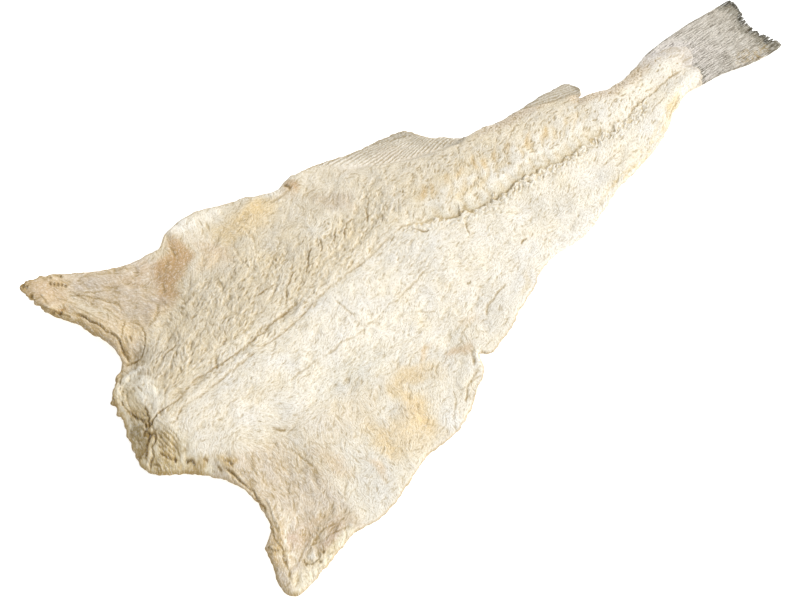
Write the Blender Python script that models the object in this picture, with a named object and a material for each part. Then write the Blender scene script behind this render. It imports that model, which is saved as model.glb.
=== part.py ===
"""A whole split cod, salted and dried, lying on its skin with the flesh side up.

One solid. +X runs from the neck cut to the tail fin, +Y to the side that carries the two
anal fins, +Z up. The origin is on the resting face, on the axis from neck to tail.
Tables are in millimetres and the model is in metres.
"""

import bmesh
import bpy
import numpy as np

MM = 0.001

# Mesh density
STEP_ALONG = 11.0  # spacing of the surface points along the fish
STEP_ACROSS = 9.4  # spacing across it
STEP_SPINE = 5.0  # spacing across it near the backbone, where the folds are narrow
SPINE_BAND = 32.0
CURVE_STEPS = 4  # pieces between two outline points
MERGE_DISTANCE = 2.2  # rim points nearer to each other than this become one

# The outline from above, clockwise, as the edges of the fish in turn.
UPPER_EAR = [(-351, 170), (-345, 178), (-336, 175), (-320, 169), (-300, 158)]
UPPER_FLAP = [
    (-284, 150), (-268, 142), (-250, 140), (-230, 140), (-220, 148), (-200, 151),
    (-182, 149), (-165, 142), (-140, 135), (-124, 127), (-110, 126), (-98, 130),
]
FIRST_FIN = [
    (-84, 128), (-55, 120), (-25, 114), (0, 110), (14, 104), (21, 96), (29, 85), (39, 80), (50, 68),
]
UPPER_STALK = [(70, 66), (95, 61), (122, 60)]
SECOND_FIN = [(148, 58), (162, 54), (170, 49), (174, 43), (162, 35), (179, 32)]
TAIL_ROOT_UPPER = [(192, 27), (210, 27), (229, 29), (245, 34), (268, 37), (300, 37), (330, 34)]
TAIL_EDGE = [(351, 32), (350, 18), (345, 3), (348, -10), (352, -25), (357, -36)]
TAIL_ROOT_LOWER = [(338, -36), (314, -31), (291, -24), (264, -21), (246, -20)]
LOWER_FLANK = [
    (228, -27), (210, -37), (190, -46), (165, -52), (130, -59), (100, -69), (75, -76), (45, -76),
    (22, -80), (4, -89), (-20, -99), (-45, -110), (-66, -116),
]
LOWER_FLAP = [
    (-75, -108), (-81, -123), (-98, -135), (-113, -145), (-140, -155), (-172, -157), (-198, -166),
    (-228, -175), (-260, -173), (-286, -181),
]
LOWER_EAR = [(-312, -187), (-325, -187), (-328, -174), (-323, -157), (-319, -143), (-307, -135)]
LOWER_FRONT = [(-302, -116), (-302, -97), (-307, -80), (-316, -63), (-331, -48)]
NECK = [
    (-341, -40), (-352, -33), (-357, -21), (-355, -4), (-350, 13), (-346, 32), (-343, 47),
    (-332, 58), (-321, 65),
]
UPPER_FRONT = [(-318, 86), (-325, 101), (-333, 121), (-344, 138), (-348, 156)]
OUTLINE = (
    UPPER_EAR + UPPER_FLAP + FIRST_FIN + UPPER_STALK + SECOND_FIN + TAIL_ROOT_UPPER + TAIL_EDGE
    + TAIL_ROOT_LOWER + LOWER_FLANK + LOWER_FLAP + LOWER_EAR + LOWER_FRONT + NECK + UPPER_FRONT
)
CORNERS = [
    SECOND_FIN[3], SECOND_FIN[4], TAIL_EDGE[0], TAIL_EDGE[-1], LOWER_FLANK[-1], LOWER_FLAP[0],
    LOWER_FLAP[1], NECK[0],
]

# Lines and thicknesses along the fish, as (x, value).
BACKBONE_LINE = [(-360, -6), (-300, -2), (-200, 6), (-100, 14), (-40, 15), (60, 10), (150, 6), (360, 2)]
LOIN_THICKNESS = [
    (-360, 21), (-320, 26), (-250, 27), (-120, 24), (0, 21), (100, 18), (180, 14), (240, 9),
    (275, 5), (360, 3),
]
LOIN_HALF_WIDTH = [(-360, 75), (-300, 92), (-150, 112), (-50, 100), (50, 78), (150, 58), (240, 38), (360, 36)]
FLAP_THICKNESS = 5.0
FIN_THICKNESS = 2.2
RIM_THICKNESS = 2.4
RIM_ROUND = 9.0  # width over which the rim thins out
FIRST_FIN_BASE = [(-95, 118), (-70, 112), (-45, 100), (-20, 90), (10, 70), (50, 61)]
SECOND_FIN_BASE = [(105, 56), (120, 50), (140, 40), (162, 35), (179, 31)]
FIN_STEP_WIDTH = 9.0  # from the flesh down to a fin's web
TAIL_FIN_START = 262
TAIL_FIN_FULL = 292

# The underside lies flat, and its edges curl up as they dry.
CURL_REACH = 46.0
UPPER_RIM_LIFT = [
    (-360, 17), (-330, 15), (-300, 11), (-250, 7), (-200, 8), (-120, 6), (-50, 6), (20, 5),
    (60, 3), (150, 4), (200, 1.5), (260, 2), (360, 3),
]
LOWER_RIM_LIFT = [(-360, 11), (-320, 11), (-290, 8), (-250, 5), (-100, 3), (0, 2), (200, 1.5), (360, 2)]
NECK_RIM_LIFT = 1.5
NECK_HALF_WIDTH = 56.0
TAIL_END_LIFT = 4.0

# Folds and grooves of the flesh side.
MIDLINE_CREASES = [
    [(-325, 1), (-291, 3), (-276, 8), (-225, 8.5), (-165, 17)],
    [(-312, -9), (-270, -5), (-200, -1), (-140, 9), (-75, 18)],
]
CREASE_DEPTH = 2.2
CREASE_WIDTH = 6.0
SPINE_GROOVE = [
    (-35, 12), (-18, 3), (0, -1), (25, -5), (60, -4), (90, -8), (125, -9), (160, -13), (190, -9),
    (220, -2), (262, 1.5),
]
SPINE_GROOVE_DEPTH = 5.0
SPINE_GROOVE_WIDTH = 9.0
NECK_CUT_WIDTH = 26.0
NECK_CUT_DROP = 15.0
EAR_ROLL_WIDTH = 13.0
EAR_ROLL_INSET = 11.0
UPPER_EAR_ROLL = 7.0
LOWER_EAR_ROLL = 4.5

FLESH_COLOUR = (0.80, 0.71, 0.56, 1.0)
FLESH_ROUGHNESS = 0.82


def clear_scene():
    for obj in list(bpy.data.objects):
        bpy.data.objects.remove(obj, do_unlink=True)


def new_collection(name):
    collection = bpy.data.collections.new(name)
    bpy.context.scene.collection.children.link(collection)
    return collection


def flesh_material():
    material = bpy.data.materials.new("dried_flesh")
    material.use_nodes = True
    shader = material.node_tree.nodes["Principled BSDF"]
    shader.inputs["Base Color"].default_value = FLESH_COLOUR
    shader.inputs["Roughness"].default_value = FLESH_ROUGHNESS
    shader.inputs["Metallic"].default_value = 0.0
    material.diffuse_color = FLESH_COLOUR
    return material


def smooth_step(value):
    value = np.clip(value, 0.0, 1.0)
    return value * value * (3.0 - 2.0 * value)


def along(table, x):
    """The table's value at x, on a smooth curve through its rows."""
    rows = np.array(table, float)
    slopes = np.gradient(rows[:, 1], rows[:, 0])
    x = np.clip(x, rows[0, 0], rows[-1, 0])
    i = np.clip(np.searchsorted(rows[:, 0], x, side="right") - 1, 0, len(rows) - 2)
    step = rows[i + 1, 0] - rows[i, 0]
    t = (x - rows[i, 0]) / step
    start = (1.0 + 2.0 * t) * (1.0 - t) ** 2 * rows[i, 1] + t * (1.0 - t) ** 2 * step * slopes[i]
    end = t * t * (3.0 - 2.0 * t) * rows[i + 1, 1] + t * t * (t - 1.0) * step * slopes[i + 1]
    return start + end


def distance_to_line(x, y, line, closed=False):
    """Distance from each point to the nearest place on a polyline."""
    line = np.array(line, float)
    ends = np.roll(line, -1, axis=0) if closed else line[1:]
    starts = line if closed else line[:-1]
    best = np.full(x.shape, np.inf)
    for (ax, ay), (bx, by) in zip(starts, ends):
        dx, dy = bx - ax, by - ay
        t = np.clip(((x - ax) * dx + (y - ay) * dy) / (dx * dx + dy * dy), 0.0, 1.0)
        best = np.minimum(best, np.hypot(x - ax - t * dx, y - ay - t * dy))
    return best


def ridge(distance, width):
    """1 on a line, falling to 0 at its width on either side."""
    return 1.0 - smooth_step(distance / width)


def underside_height(x, y, rim_distance):
    side = np.where(y > 0, along(UPPER_RIM_LIFT, x), along(LOWER_RIM_LIFT, x))
    ear = smooth_step((np.abs(y) - NECK_HALF_WIDTH) / 40.0)
    front = smooth_step((-285.0 - x) / 25.0)
    lift = side + front * (1.0 - ear) * (NECK_RIM_LIFT - side)
    curl = np.clip(1.0 - rim_distance / CURL_REACH, 0.0, 1.0) ** 2
    return lift * curl + TAIL_END_LIFT * smooth_step((x - TAIL_FIN_START) / 95.0)


def fin_amount(x, y):
    """1 on the webs of the fins and 0 on the flesh."""
    first = smooth_step((y - along(FIRST_FIN_BASE, x)) / FIN_STEP_WIDTH) * (x > -92) * (x < 51)
    second = smooth_step((y - along(SECOND_FIN_BASE, x)) / FIN_STEP_WIDTH) * (x > 105) * (x < 180)
    tail = smooth_step((x - TAIL_FIN_START) / (TAIL_FIN_FULL - TAIL_FIN_START))
    return np.maximum(np.maximum(first, second), tail)


def flesh_thickness(x, y, rim_distance):
    across = np.clip(np.abs(y - along(BACKBONE_LINE, x)) / along(LOIN_HALF_WIDTH, x), 0.0, 1.0)
    flap = FLAP_THICKNESS * np.ones_like(x)
    thick = flap + (along(LOIN_THICKNESS, x) - flap) * (1.0 - across**2) ** 1.6
    for crease in MIDLINE_CREASES:
        thick = thick - CREASE_DEPTH * ridge(distance_to_line(x, y, crease), CREASE_WIDTH)
    thick = thick - SPINE_GROOVE_DEPTH * spine_groove(x, y)
    thick = thick - NECK_CUT_DROP * neck_cut(x, y)
    thick = thick + ear_rolls(x, y, rim_distance)
    thick = thick + (FIN_THICKNESS - thick) * fin_amount(x, y)
    inside = np.clip(rim_distance / RIM_ROUND, 0.0, 1.0)
    blunt = np.sqrt(1.0 - (1.0 - inside) ** 2)
    return RIM_THICKNESS + (np.maximum(thick, RIM_THICKNESS) - RIM_THICKNESS) * blunt


def spine_groove(x, y):
    """The cut left along the lower side of the backbone."""
    return ridge(distance_to_line(x, y, SPINE_GROOVE), SPINE_GROOVE_WIDTH)


def neck_cut(x, y):
    """The sloping face where the head was cut away."""
    to_cut = distance_to_line(x, y, NECK)
    return ridge(to_cut, NECK_CUT_WIDTH)


def ear_rolls(x, y, rim_distance):
    """The thick rolled rims along the front edges of the two ears."""
    roll = ridge(np.abs(rim_distance - EAR_ROLL_INSET), EAR_ROLL_WIDTH)
    upper = roll * ridge(distance_to_line(x, y, UPPER_FRONT + UPPER_EAR[:2]), 22.0)
    lower = roll * ridge(distance_to_line(x, y, LOWER_EAR), 22.0)
    return UPPER_EAR_ROLL * upper + LOWER_EAR_ROLL * lower


def outline_object(collection):
    """The outline as a flat closed curve, smooth between its corners."""
    curve = bpy.data.curves.new("cod_outline", "CURVE")
    curve.dimensions = "2D"
    curve.fill_mode = "NONE"
    curve.resolution_u = CURVE_STEPS
    spline = curve.splines.new("BEZIER")
    spline.bezier_points.add(len(OUTLINE) - 1)
    spline.use_cyclic_u = True
    for point, (x, y) in zip(spline.bezier_points, OUTLINE):
        kind = "VECTOR" if (x, y) in CORNERS else "AUTO"
        point.co = (x * MM, y * MM, 0.0)
        point.handle_left_type = kind
        point.handle_right_type = kind
    obj = bpy.data.objects.new("cod_outline", curve)
    obj.hide_render = True
    obj.display_type = "WIRE"
    collection.objects.link(obj)
    return obj


def outline_points(outline):
    """The evaluated curve as an array of points in millimetres, in order."""
    bpy.context.view_layer.update()
    graph = bpy.context.evaluated_depsgraph_get()
    mesh = bpy.data.meshes.new_from_object(outline.evaluated_get(graph))
    points = np.array([vertex.co[:2] for vertex in mesh.vertices]) / MM
    bpy.data.meshes.remove(mesh)
    return points


def lines_across(low, high):
    """The places of the lengthwise cuts: close together at the backbone, wider on the flaps."""
    near = np.arange(-SPINE_BAND, SPINE_BAND + 1.0, STEP_SPINE)
    below = np.arange(-SPINE_BAND - STEP_ACROSS, low, -STEP_ACROSS)
    above = np.arange(near[-1] + STEP_ACROSS, high, STEP_ACROSS)
    return np.concatenate([below, near, above])


def cut_sheet(bm, axis, places):
    """Cuts the flat sheet along straight lines at these places on one axis."""
    normal = [0.0, 0.0, 0.0]
    normal[axis] = 1.0
    for place in places:
        spot = [0.0, 0.0, 0.0]
        spot[axis] = place * MM
        geometry = bm.verts[:] + bm.edges[:] + bm.faces[:]
        bmesh.ops.bisect_plane(bm, geom=geometry, dist=1e-6, plane_co=spot, plane_no=normal)


def flat_sheet(rim):
    """One flat face of the outline's shape, cut into a grid of triangles."""
    bm = bmesh.new()
    corners = [bm.verts.new((x * MM, y * MM, 0.0)) for x, y in rim]
    bm.faces.new(corners)
    cut_sheet(bm, 0, np.arange(rim[:, 0].min() + STEP_ALONG / 2, rim[:, 0].max(), STEP_ALONG))
    cut_sheet(bm, 1, lines_across(rim[:, 1].min(), rim[:, 1].max()))
    bmesh.ops.remove_doubles(bm, verts=bm.verts[:], dist=MERGE_DISTANCE * MM)
    bmesh.ops.dissolve_degenerate(bm, edges=bm.edges[:], dist=0.2 * MM)
    bmesh.ops.triangulate(bm, faces=bm.faces[:])
    for face in bm.faces:
        if face.normal.z < 0:
            face.normal_flip()
    return bm


def shape_sheet(bm, rim):
    """Gives the sheet its two sides and its wall, and moves each to its height."""
    made = bmesh.ops.extrude_face_region(bm, geom=bm.faces[:])
    upper = [item for item in made["geom"] if isinstance(item, bmesh.types.BMVert)]
    for vertex in upper:
        vertex.co.z = 1.0
    wall = [edge for edge in bm.edges if abs(edge.verts[0].co.z - edge.verts[1].co.z) > 0.5]
    bmesh.ops.subdivide_edges(bm, edges=wall, cuts=1)
    bmesh.ops.recalc_face_normals(bm, faces=bm.faces[:])
    bm.normal_update()
    points = np.array([vertex.co[:] for vertex in bm.verts])
    x, y, level = points[:, 0] / MM, points[:, 1] / MM, points[:, 2]
    rim_distance = distance_to_line(x, y, rim, closed=True)
    low = underside_height(x, y, rim_distance)
    thick = flesh_thickness(x, y, rim_distance)
    for vertex, base, depth, share in zip(bm.verts, low, thick, level):
        if abs(share - 0.5) < 0.1:
            vertex.co += vertex.normal * 0.35 * depth * MM
        vertex.co.z = (base + depth * share) * MM


def cod_object(collection, outline):
    rim = outline_points(outline)
    bm = flat_sheet(rim)
    shape_sheet(bm, rim)
    bmesh.ops.triangulate(bm, faces=bm.faces[:])
    mesh = bpy.data.meshes.new("dried_cod")
    bm.to_mesh(mesh)
    bm.free()
    mesh.shade_smooth()
    obj = bpy.data.objects.new("dried_cod", mesh)
    obj.data.materials.append(flesh_material())
    collection.objects.link(obj)
    return obj


clear_scene()
guides = new_collection("guides")
cod_parts = new_collection("salted_dried_cod")
cod_outline = outline_object(guides)
cod_object(cod_parts, cod_outline)
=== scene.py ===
import math

import bmesh
import bpy
import numpy as np
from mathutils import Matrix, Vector, geometry
from mathutils.bvhtree import BVHTree


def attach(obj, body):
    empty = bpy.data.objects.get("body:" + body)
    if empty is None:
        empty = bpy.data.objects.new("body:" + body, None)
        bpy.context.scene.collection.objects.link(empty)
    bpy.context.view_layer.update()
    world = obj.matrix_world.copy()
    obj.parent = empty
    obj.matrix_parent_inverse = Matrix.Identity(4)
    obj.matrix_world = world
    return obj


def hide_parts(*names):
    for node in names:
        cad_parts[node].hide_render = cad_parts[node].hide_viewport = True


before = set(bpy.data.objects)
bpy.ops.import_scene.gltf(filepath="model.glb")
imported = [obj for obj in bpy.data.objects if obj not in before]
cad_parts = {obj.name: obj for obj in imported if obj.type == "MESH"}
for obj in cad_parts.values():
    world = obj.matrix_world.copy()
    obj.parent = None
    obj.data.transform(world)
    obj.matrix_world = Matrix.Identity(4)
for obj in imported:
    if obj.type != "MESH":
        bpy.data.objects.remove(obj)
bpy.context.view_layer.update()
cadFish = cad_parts["dried_cod"]
mm = 0.001  # the tables below are in millimetres, in the frame's own axes
print("frame loaded")

studio = {
    "target": (-0.0941, -0.0260, 0.0),
    "distance": 1.35344,
    "azimuth": -37.956,
    "elevation": 62.0,
    "lens": 70.0,
    "sensor": 36.0,
    "clip": (0.05, 30.0),
    "keyFrom": (4.1, -2.4, 4.0),  # the key light stands on this side of the fish
    "keySize": 2.6,
    "keyPower": 330.0,
    "skyColour": (1.0, 1.0, 1.0, 1.0),
    "skyStrength": 0.62,
    "floorHalf": 4.0,
    "floorDrop": 0.0002,  # below the underside, so that the two don't flicker
    "floorColour": (0.97, 0.97, 0.97, 1.0),
    "floorRoughness": 0.9,
    "floorGlow": 0.56,  # keeps the paper white beside the fish
}


def placed(name, data):
    thing = bpy.data.objects.new(name, data)
    bpy.context.scene.collection.objects.link(thing)
    return thing


def turnAway(thing, back):  # the camera or lamp looks against this direction
    thing.rotation_mode = "QUATERNION"
    thing.rotation_quaternion = (-back).to_track_quat("-Z", "Y")


def placeCamera(setup):
    turn = math.radians(setup["azimuth"])
    lift = math.radians(setup["elevation"])
    back = Vector((math.sin(turn) * math.cos(lift), -math.cos(turn) * math.cos(lift), math.sin(lift)))
    data = bpy.data.cameras.new("camera")
    data.lens = setup["lens"]
    data.sensor_width = setup["sensor"]
    data.clip_start, data.clip_end = setup["clip"]
    camera = placed("camera", data)
    camera.location = Vector(setup["target"]) + back * setup["distance"]
    turnAway(camera, back)
    bpy.context.scene.camera = camera


def hangLamp(setup):
    data = bpy.data.lights.new("key", "AREA")
    data.shape = "DISK"
    data.size = setup["keySize"]
    data.energy = setup["keyPower"]
    lamp = placed("key", data)
    lamp.location = setup["keyFrom"]
    turnAway(lamp, Vector(setup["keyFrom"]))


def makeFloor(setup):
    bm = bmesh.new()
    bmesh.ops.create_grid(bm, x_segments=1, y_segments=1, size=setup["floorHalf"])
    mesh = bpy.data.meshes.new("floor")
    bm.to_mesh(mesh)
    bm.free()
    floor = placed("floor", mesh)
    floor.location.z = -setup["floorDrop"]
    paper = Look("floorPaper")
    shade = paper.add("BsdfPrincipled", {}, {
        "Base Color": setup["floorColour"],
        "Roughness": setup["floorRoughness"],
        "Emission Color": setup["floorColour"],
        "Emission Strength": setup["floorGlow"],
    })
    floor.data.materials.append(paper.finish(shade))


def makeSky(setup):
    world = bpy.data.worlds.new("softRoom")
    world.use_nodes = True
    sky = world.node_tree.nodes["Background"]
    sky.inputs["Color"].default_value = setup["skyColour"]
    sky.inputs["Strength"].default_value = setup["skyStrength"]
    bpy.context.scene.world = world
    bpy.context.scene.view_settings.view_transform = "Standard"


def mathsOf(operation):  # an operator between shader values, and its reflected form
    def plain(wire, other):
        return wire.look.add("Math", {"operation": operation}, {0: wire, 1: other})

    def reflected(wire, other):
        return wire.look.add("Math", {"operation": operation}, {0: other, 1: wire})

    return plain, reflected


class Wire:  # a value in a shader, usable in sums
    def __init__(self, look, socket):
        self.look = look
        self.socket = socket

    __add__, __radd__ = mathsOf("ADD")
    __sub__, __rsub__ = mathsOf("SUBTRACT")
    __mul__, __rmul__ = mathsOf("MULTIPLY")


class Look:  # one material and its nodes
    def __init__(self, name):
        self.material = bpy.data.materials.new(name)
        self.material.use_nodes = True
        self.tree = self.material.node_tree
        self.tree.nodes.clear()

    def add(self, kind, settings, sockets, out=0):
        node = self.tree.nodes.new("ShaderNode" + kind)
        for key, value in settings.items():
            if key == "ramp":
                stops = node.color_ramp.elements
                while len(stops) < len(value):
                    stops.new(0.5)
                for stop, (place, level) in zip(stops, value):
                    stop.position = place
                    stop.color = (level, level, level, 1.0)
            else:
                setattr(node, key, value)
        for key, value in sockets.items():
            if isinstance(value, Wire):
                self.tree.links.new(value.socket, node.inputs[key])
            else:
                node.inputs[key].default_value = value
        return Wire(self, node.outputs[out])

    def mix(self, amount, first, second):
        return self.add("Mix", {"data_type": "RGBA"}, {0: amount, 6: first, 7: second}, out=2)

    def ramp(self, value, stops):
        return self.add("ValToRGB", {"ramp": stops}, {"Fac": value})

    def finish(self, shade):
        end = self.tree.nodes.new("ShaderNodeOutputMaterial")
        self.tree.links.new(shade.socket, end.inputs["Surface"])
        return self.material


placeCamera(studio)
makeSky(studio)
makeFloor(studio)
hangLamp(studio)
print("studio ready")

# The drawing sheet: every fold, stain and patch of painted shade is drawn on it in plan, then read by the
# meshes.
sheet = {"left": -366.0, "low": -198.0, "high": 192.0, "columns": 1472, "rows": 768, "cell": 0.5}
gx, gy = np.meshgrid(
    sheet["left"] + sheet["cell"] * np.arange(sheet["columns"]),
    sheet["low"] + sheet["cell"] * np.arange(sheet["rows"]),
)


def softStep(value):
    value = np.clip(value, 0.0, 1.0)
    return value * value * (3.0 - 2.0 * value)


def blurred(field, reach):
    waveX = np.fft.rfftfreq(field.shape[1])[None, :]
    waveY = np.fft.fftfreq(field.shape[0])[:, None]
    spread = 2.0 * (math.pi * reach / sheet["cell"]) ** 2
    return np.fft.irfft2(np.fft.rfft2(field) * np.exp(-spread * (waveX**2 + waveY**2)), s=field.shape)


def lumps(seed, fine, coarse):  # uneven lumps between two sizes, with a spread of one
    white = np.random.default_rng(seed).standard_normal(gx.shape)
    field = blurred(white, fine) - blurred(white, coarse)
    return field / field.std()


def between(field, column, row):  # read between the four nearest places
    column = np.clip(column, 0.0, field.shape[1] - 1.001)
    row = np.clip(row, 0.0, field.shape[0] - 1.001)
    c, r = column.astype(int), row.astype(int)
    fc, fr = column - c, row - r
    low = field[r, c] * (1.0 - fc) + field[r, c + 1] * fc
    high = field[r + 1, c] * (1.0 - fc) + field[r + 1, c + 1] * fc
    return low * (1.0 - fr) + high * fr


def readAt(field, x, y):
    return between(field, (x - sheet["left"]) / sheet["cell"], (y - sheet["low"]) / sheet["cell"])


def coarsePlaces(step):
    xs = np.arange(sheet["left"], -sheet["left"] + 3 * step, step)
    return xs, np.arange(sheet["low"], sheet["high"], step)


def spreadMap(xs, ys, values):  # a coarse map, read onto the whole sheet
    return between(values, (gx[:1] - xs[0]) / (xs[1] - xs[0]), (gy[:, :1] - ys[0]) / (ys[1] - ys[0]))


def smoothLine(points, step=2.0, closed=False):  # a smooth curve through the points, cut into even steps
    p = np.array(points, float)
    before = np.roll(p, 1, axis=0)
    after = np.roll(p, -1, axis=0)
    if not closed:
        before[0] = 2.0 * p[0] - p[1]
        after[-1] = 2.0 * p[-1] - p[-2]
    slope = (after - before) / 2.0
    made = []
    for i in range(len(p) if closed else len(p) - 1):
        j = (i + 1) % len(p)
        t = np.linspace(0.0, 1.0, 9)[:-1, None]
        made.append(
            (2 * t**3 - 3 * t**2 + 1) * p[i] + (t**3 - 2 * t**2 + t) * slope[i]
            + (3 * t**2 - 2 * t**3) * p[j] + (t**3 - t**2) * slope[j]
        )
    return evenLine(np.concatenate(made + [p[:1] if closed else p[-1:]]), step)[:-1 if closed else None]


def evenLine(line, step):
    run = np.concatenate([[0.0], np.cumsum(np.hypot(*np.diff(line, axis=0).T))])
    places = np.linspace(0.0, run[-1], max(2, int(round(run[-1] / step)) + 1))
    return np.column_stack([np.interp(places, run, line[:, k]) for k in (0, 1)])


def toLine(x, y, line):  # distance, which side, and how far along, for each point
    best = np.full(x.shape, 1e9)
    side = np.ones(x.shape)
    share = np.zeros(x.shape)
    for i, ((ax, ay), (bx, by)) in enumerate(zip(line[:-1], line[1:])):
        dx, dy = bx - ax, by - ay
        t = np.clip(((x - ax) * dx + (y - ay) * dy) / (dx * dx + dy * dy), 0.0, 1.0)
        gap = np.hypot(x - ax - t * dx, y - ay - t * dy)
        nearer = gap < best
        best = np.where(nearer, gap, best)
        side = np.where(nearer, np.sign((y - ay) * dx - (x - ax) * dy), side)
        share = np.where(nearer, (i + t) / (len(line) - 1), share)
    return best, side, share


wanderX = lumps(11, 3.0, 14.0)
wanderY = lumps(12, 3.0, 14.0)
broadX = lumps(13, 5.0, 30.0)
broadY = lumps(14, 5.0, 30.0)
crumbly = lumps(18, 0.7, 2.5)
uneven = softStep(0.62 + 0.45 * lumps(16, 2.5, 12.0))  # how strongly a fold shows, from place to place


def nearLine(points, reach, wander=0.5):  # an array is a finished line
    line = points if isinstance(points, np.ndarray) else smoothLine(points)
    corner = np.array((sheet["left"], sheet["low"]))
    low = np.min(line, axis=0) - reach - corner
    high = np.max(line, axis=0) + reach - corner
    c0, r0 = np.maximum(low / sheet["cell"], 0).astype(int)
    c1, r1 = (high / sheet["cell"]).astype(int) + 2
    part = slice(r0, r1), slice(c0, c1)
    x = gx[part] + wander * (wanderX[part] + 0.35 * crumbly[part])
    y = gy[part] + wander * (wanderY[part] - 0.35 * crumbly[part])
    gap, side, share = toLine(x, y, line)
    taper = softStep(share / 0.12) * softStep((1.0 - share) / 0.12)
    return part, gap, side, taper


def spot(x, y, wide, high, turn=0.0, ragged=0.0):  # an oval stain or lump, 1 in the middle
    a = math.radians(turn)
    px = gx - x + ragged * broadX
    py = gy - y + ragged * broadY
    along = (px * math.cos(a) + py * math.sin(a)) / wide
    across = (py * math.cos(a) - px * math.sin(a)) / high
    return np.exp(-((along**2 + across**2) ** 1.5))


def area(corners, soft):  # a soft-edged patch with these corners
    inside = np.zeros(gx.shape, bool)
    for (ax, ay), (bx, by) in zip(corners, corners[1:] + corners[:1]):
        if ay == by:
            continue
        crosses = (ay > gy) != (by > gy)
        inside ^= crosses & (gx < ax + (gy - ay) * (bx - ax) / (by - ay))
    return np.clip(blurred(inside.astype(float), soft), 0.0, 1.0)


def weldedFish(obj):
    mesh = obj.data
    mesh.calc_loop_triangles()
    points = np.empty(len(mesh.vertices) * 3, np.float32)
    mesh.vertices.foreach_get("co", points)
    faces = np.empty(len(mesh.loop_triangles) * 3, np.int32)
    mesh.loop_triangles.foreach_get("vertices", faces)
    points = points.reshape(-1, 3) / mm
    _, first, index = np.unique(np.round(points, 2), axis=0, return_index=True, return_inverse=True)
    return points[first].astype(float), index.reshape(-1)[faces.reshape(-1, 3)]


def planOutline(points, faces):  # the edges between faces that look up and faces that look down
    a, b, c = (points[faces[:, k], :2] for k in range(3))
    up = (b[:, 0] - a[:, 0]) * (c[:, 1] - a[:, 1]) - (b[:, 1] - a[:, 1]) * (c[:, 0] - a[:, 0]) > 0
    follows = {}
    down = set()
    for face, isUp in zip(faces, up):
        for k in range(3):
            edge = (int(face[k]), int(face[(k + 1) % 3]))
            if isUp:
                follows.setdefault(edge[0], []).append(edge[1])
            else:
                down.add((edge[1], edge[0]))
    chains = {}
    for start, ends in follows.items():
        for end in ends:
            if (start, end) in down:
                chains[start] = end
    loops = []
    left = set(chains)
    while left:
        here = left.pop()
        loop = [here]
        while chains.get(here) in left:
            here = chains[here]
            left.discard(here)
            loop.append(here)
        loops.append(loop)
    return points[max(loops, key=len), :2]


fishPoints, fishFaces = weldedFish(cadFish)
cadRim = planOutline(fishPoints, fishFaces)
fishTree = BVHTree.FromPolygons([Vector(p) for p in fishPoints], [tuple(f) for f in fishFaces.tolist()])
coarse = {
    "step": 2.4,
    "soften": 3.0,
    "above": 80.0,  # from here the rays look down on the fish
    "below": -20.0,  # and from here they look up at it
}


def plainHeights(up):  # the CAD surface seen from above or below, smoothed over its facets
    xs, ys = coarsePlaces(coarse["step"])
    heights = np.full((len(ys), len(xs)), np.nan)
    start = coarse["above"] if up else coarse["below"]
    way = Vector((0.0, 0.0, -start))
    for r, y in enumerate(ys):
        for c, x in enumerate(xs):
            hit = fishTree.ray_cast(Vector((x, y, start)), way)[0]
            if hit is not None:
                heights[r, c] = hit.z
    known = np.isfinite(heights)
    size = int(math.ceil(3.0 * coarse["soften"] / coarse["step"]))
    bell = np.exp(-0.5 * (np.arange(-size, size + 1) * coarse["step"] / coarse["soften"]) ** 2)

    def soften(field):
        for axis in (0, 1):
            field = np.apply_along_axis(lambda line: np.convolve(line, bell, "same"), axis, field)
        return field

    share = soften(known.astype(float))
    field = soften(np.where(known, heights, 0.0)) / np.maximum(share, 1e-6)
    return spreadMap(xs, ys, np.where(share > 1e-3, field, 0.0))


topPlain = plainHeights(True)
lowPlain = np.maximum(plainHeights(False), 0.0)
print("outline and heights read")

# The rim: thin, a little wavy, warty at the ear and in teeth at the tail fin.
edge = {
    "step": 0.95,
    "tailStep": 0.62,
    "tailFrom": 300.0,
    "fineStep": 0.31,  # the curve's own steps, before they are thinned out
    "wave": 0.40,  # slow wander of the cut edge
    "fray": 0.30,
    "neckKnobs": 1.1,
    "warts": 1.2,  # knobs round the upper ear's tip
    "teeth": (-34.0, 32.0, 2.9),  # along the tail fin's end, and how far apart
    "toothDepth": (1.4, 6.0),
    "toothWidth": 0.75,
    "pushes": [
        # where, how wide, how far in x and y
        (-366, 184, 14.0, 6.0, -0.6), (-335, 140, 38.0, 1.2, 1.5), (-235, 140, 40.0, 1.0, 1.3),
        (161, 53, 9.0, 4.0, 1.5), (362, 34, 24.0, 4.5, 0.5), (350, 4, 16.0, 2.0, 0.0),
        (357, -24, 12.0, 2.6, 0.0),
    ],
    "rimThick": 1.4,  # the rim itself above the underside
    "fleshThick": 2.0,  # and the least just inside it
    "roundOver": 3.0,
}
cuts = {
    # where the two sides of flesh part, and where both end over the tail fin
    "backbone": [
        (-353, -14), (-347, -13), (-340, -9), (-333, -8), (-325, -11), (-317, -13), (-306, -7), (-285, -7),
        (-255, -4), (-228, -2), (-200, -1), (-178, 2), (-155, 8), (-130, 11), (-100, 13), (-75, 18),
        (-57, 20), (-45, 17), (-38, 13), (-25, 10), (-18, 3), (-8, 0), (0, -1), (25, -5), (40, -6.5),
        (60, -4), (70, -3.5), (86, -8), (97, -8.5), (110, -10), (125, -9), (145, -9), (154, -12),
        (162, -13), (170, -12), (180, -11), (200, -5), (220, -2), (240, 0.5), (258, 1.5), (275, 1),
    ],
    "endBelow": [(267, -20), (274, -15), (278, -7), (275, 1)],
    "endAbove": [(275, 1), (284, 9), (286, 18), (275, 27), (258, 32), (246, 34)],
    "fray": 0.55,
    "finRoot": [(246, 24), (244, 5), (250, -12)],
}


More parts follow.
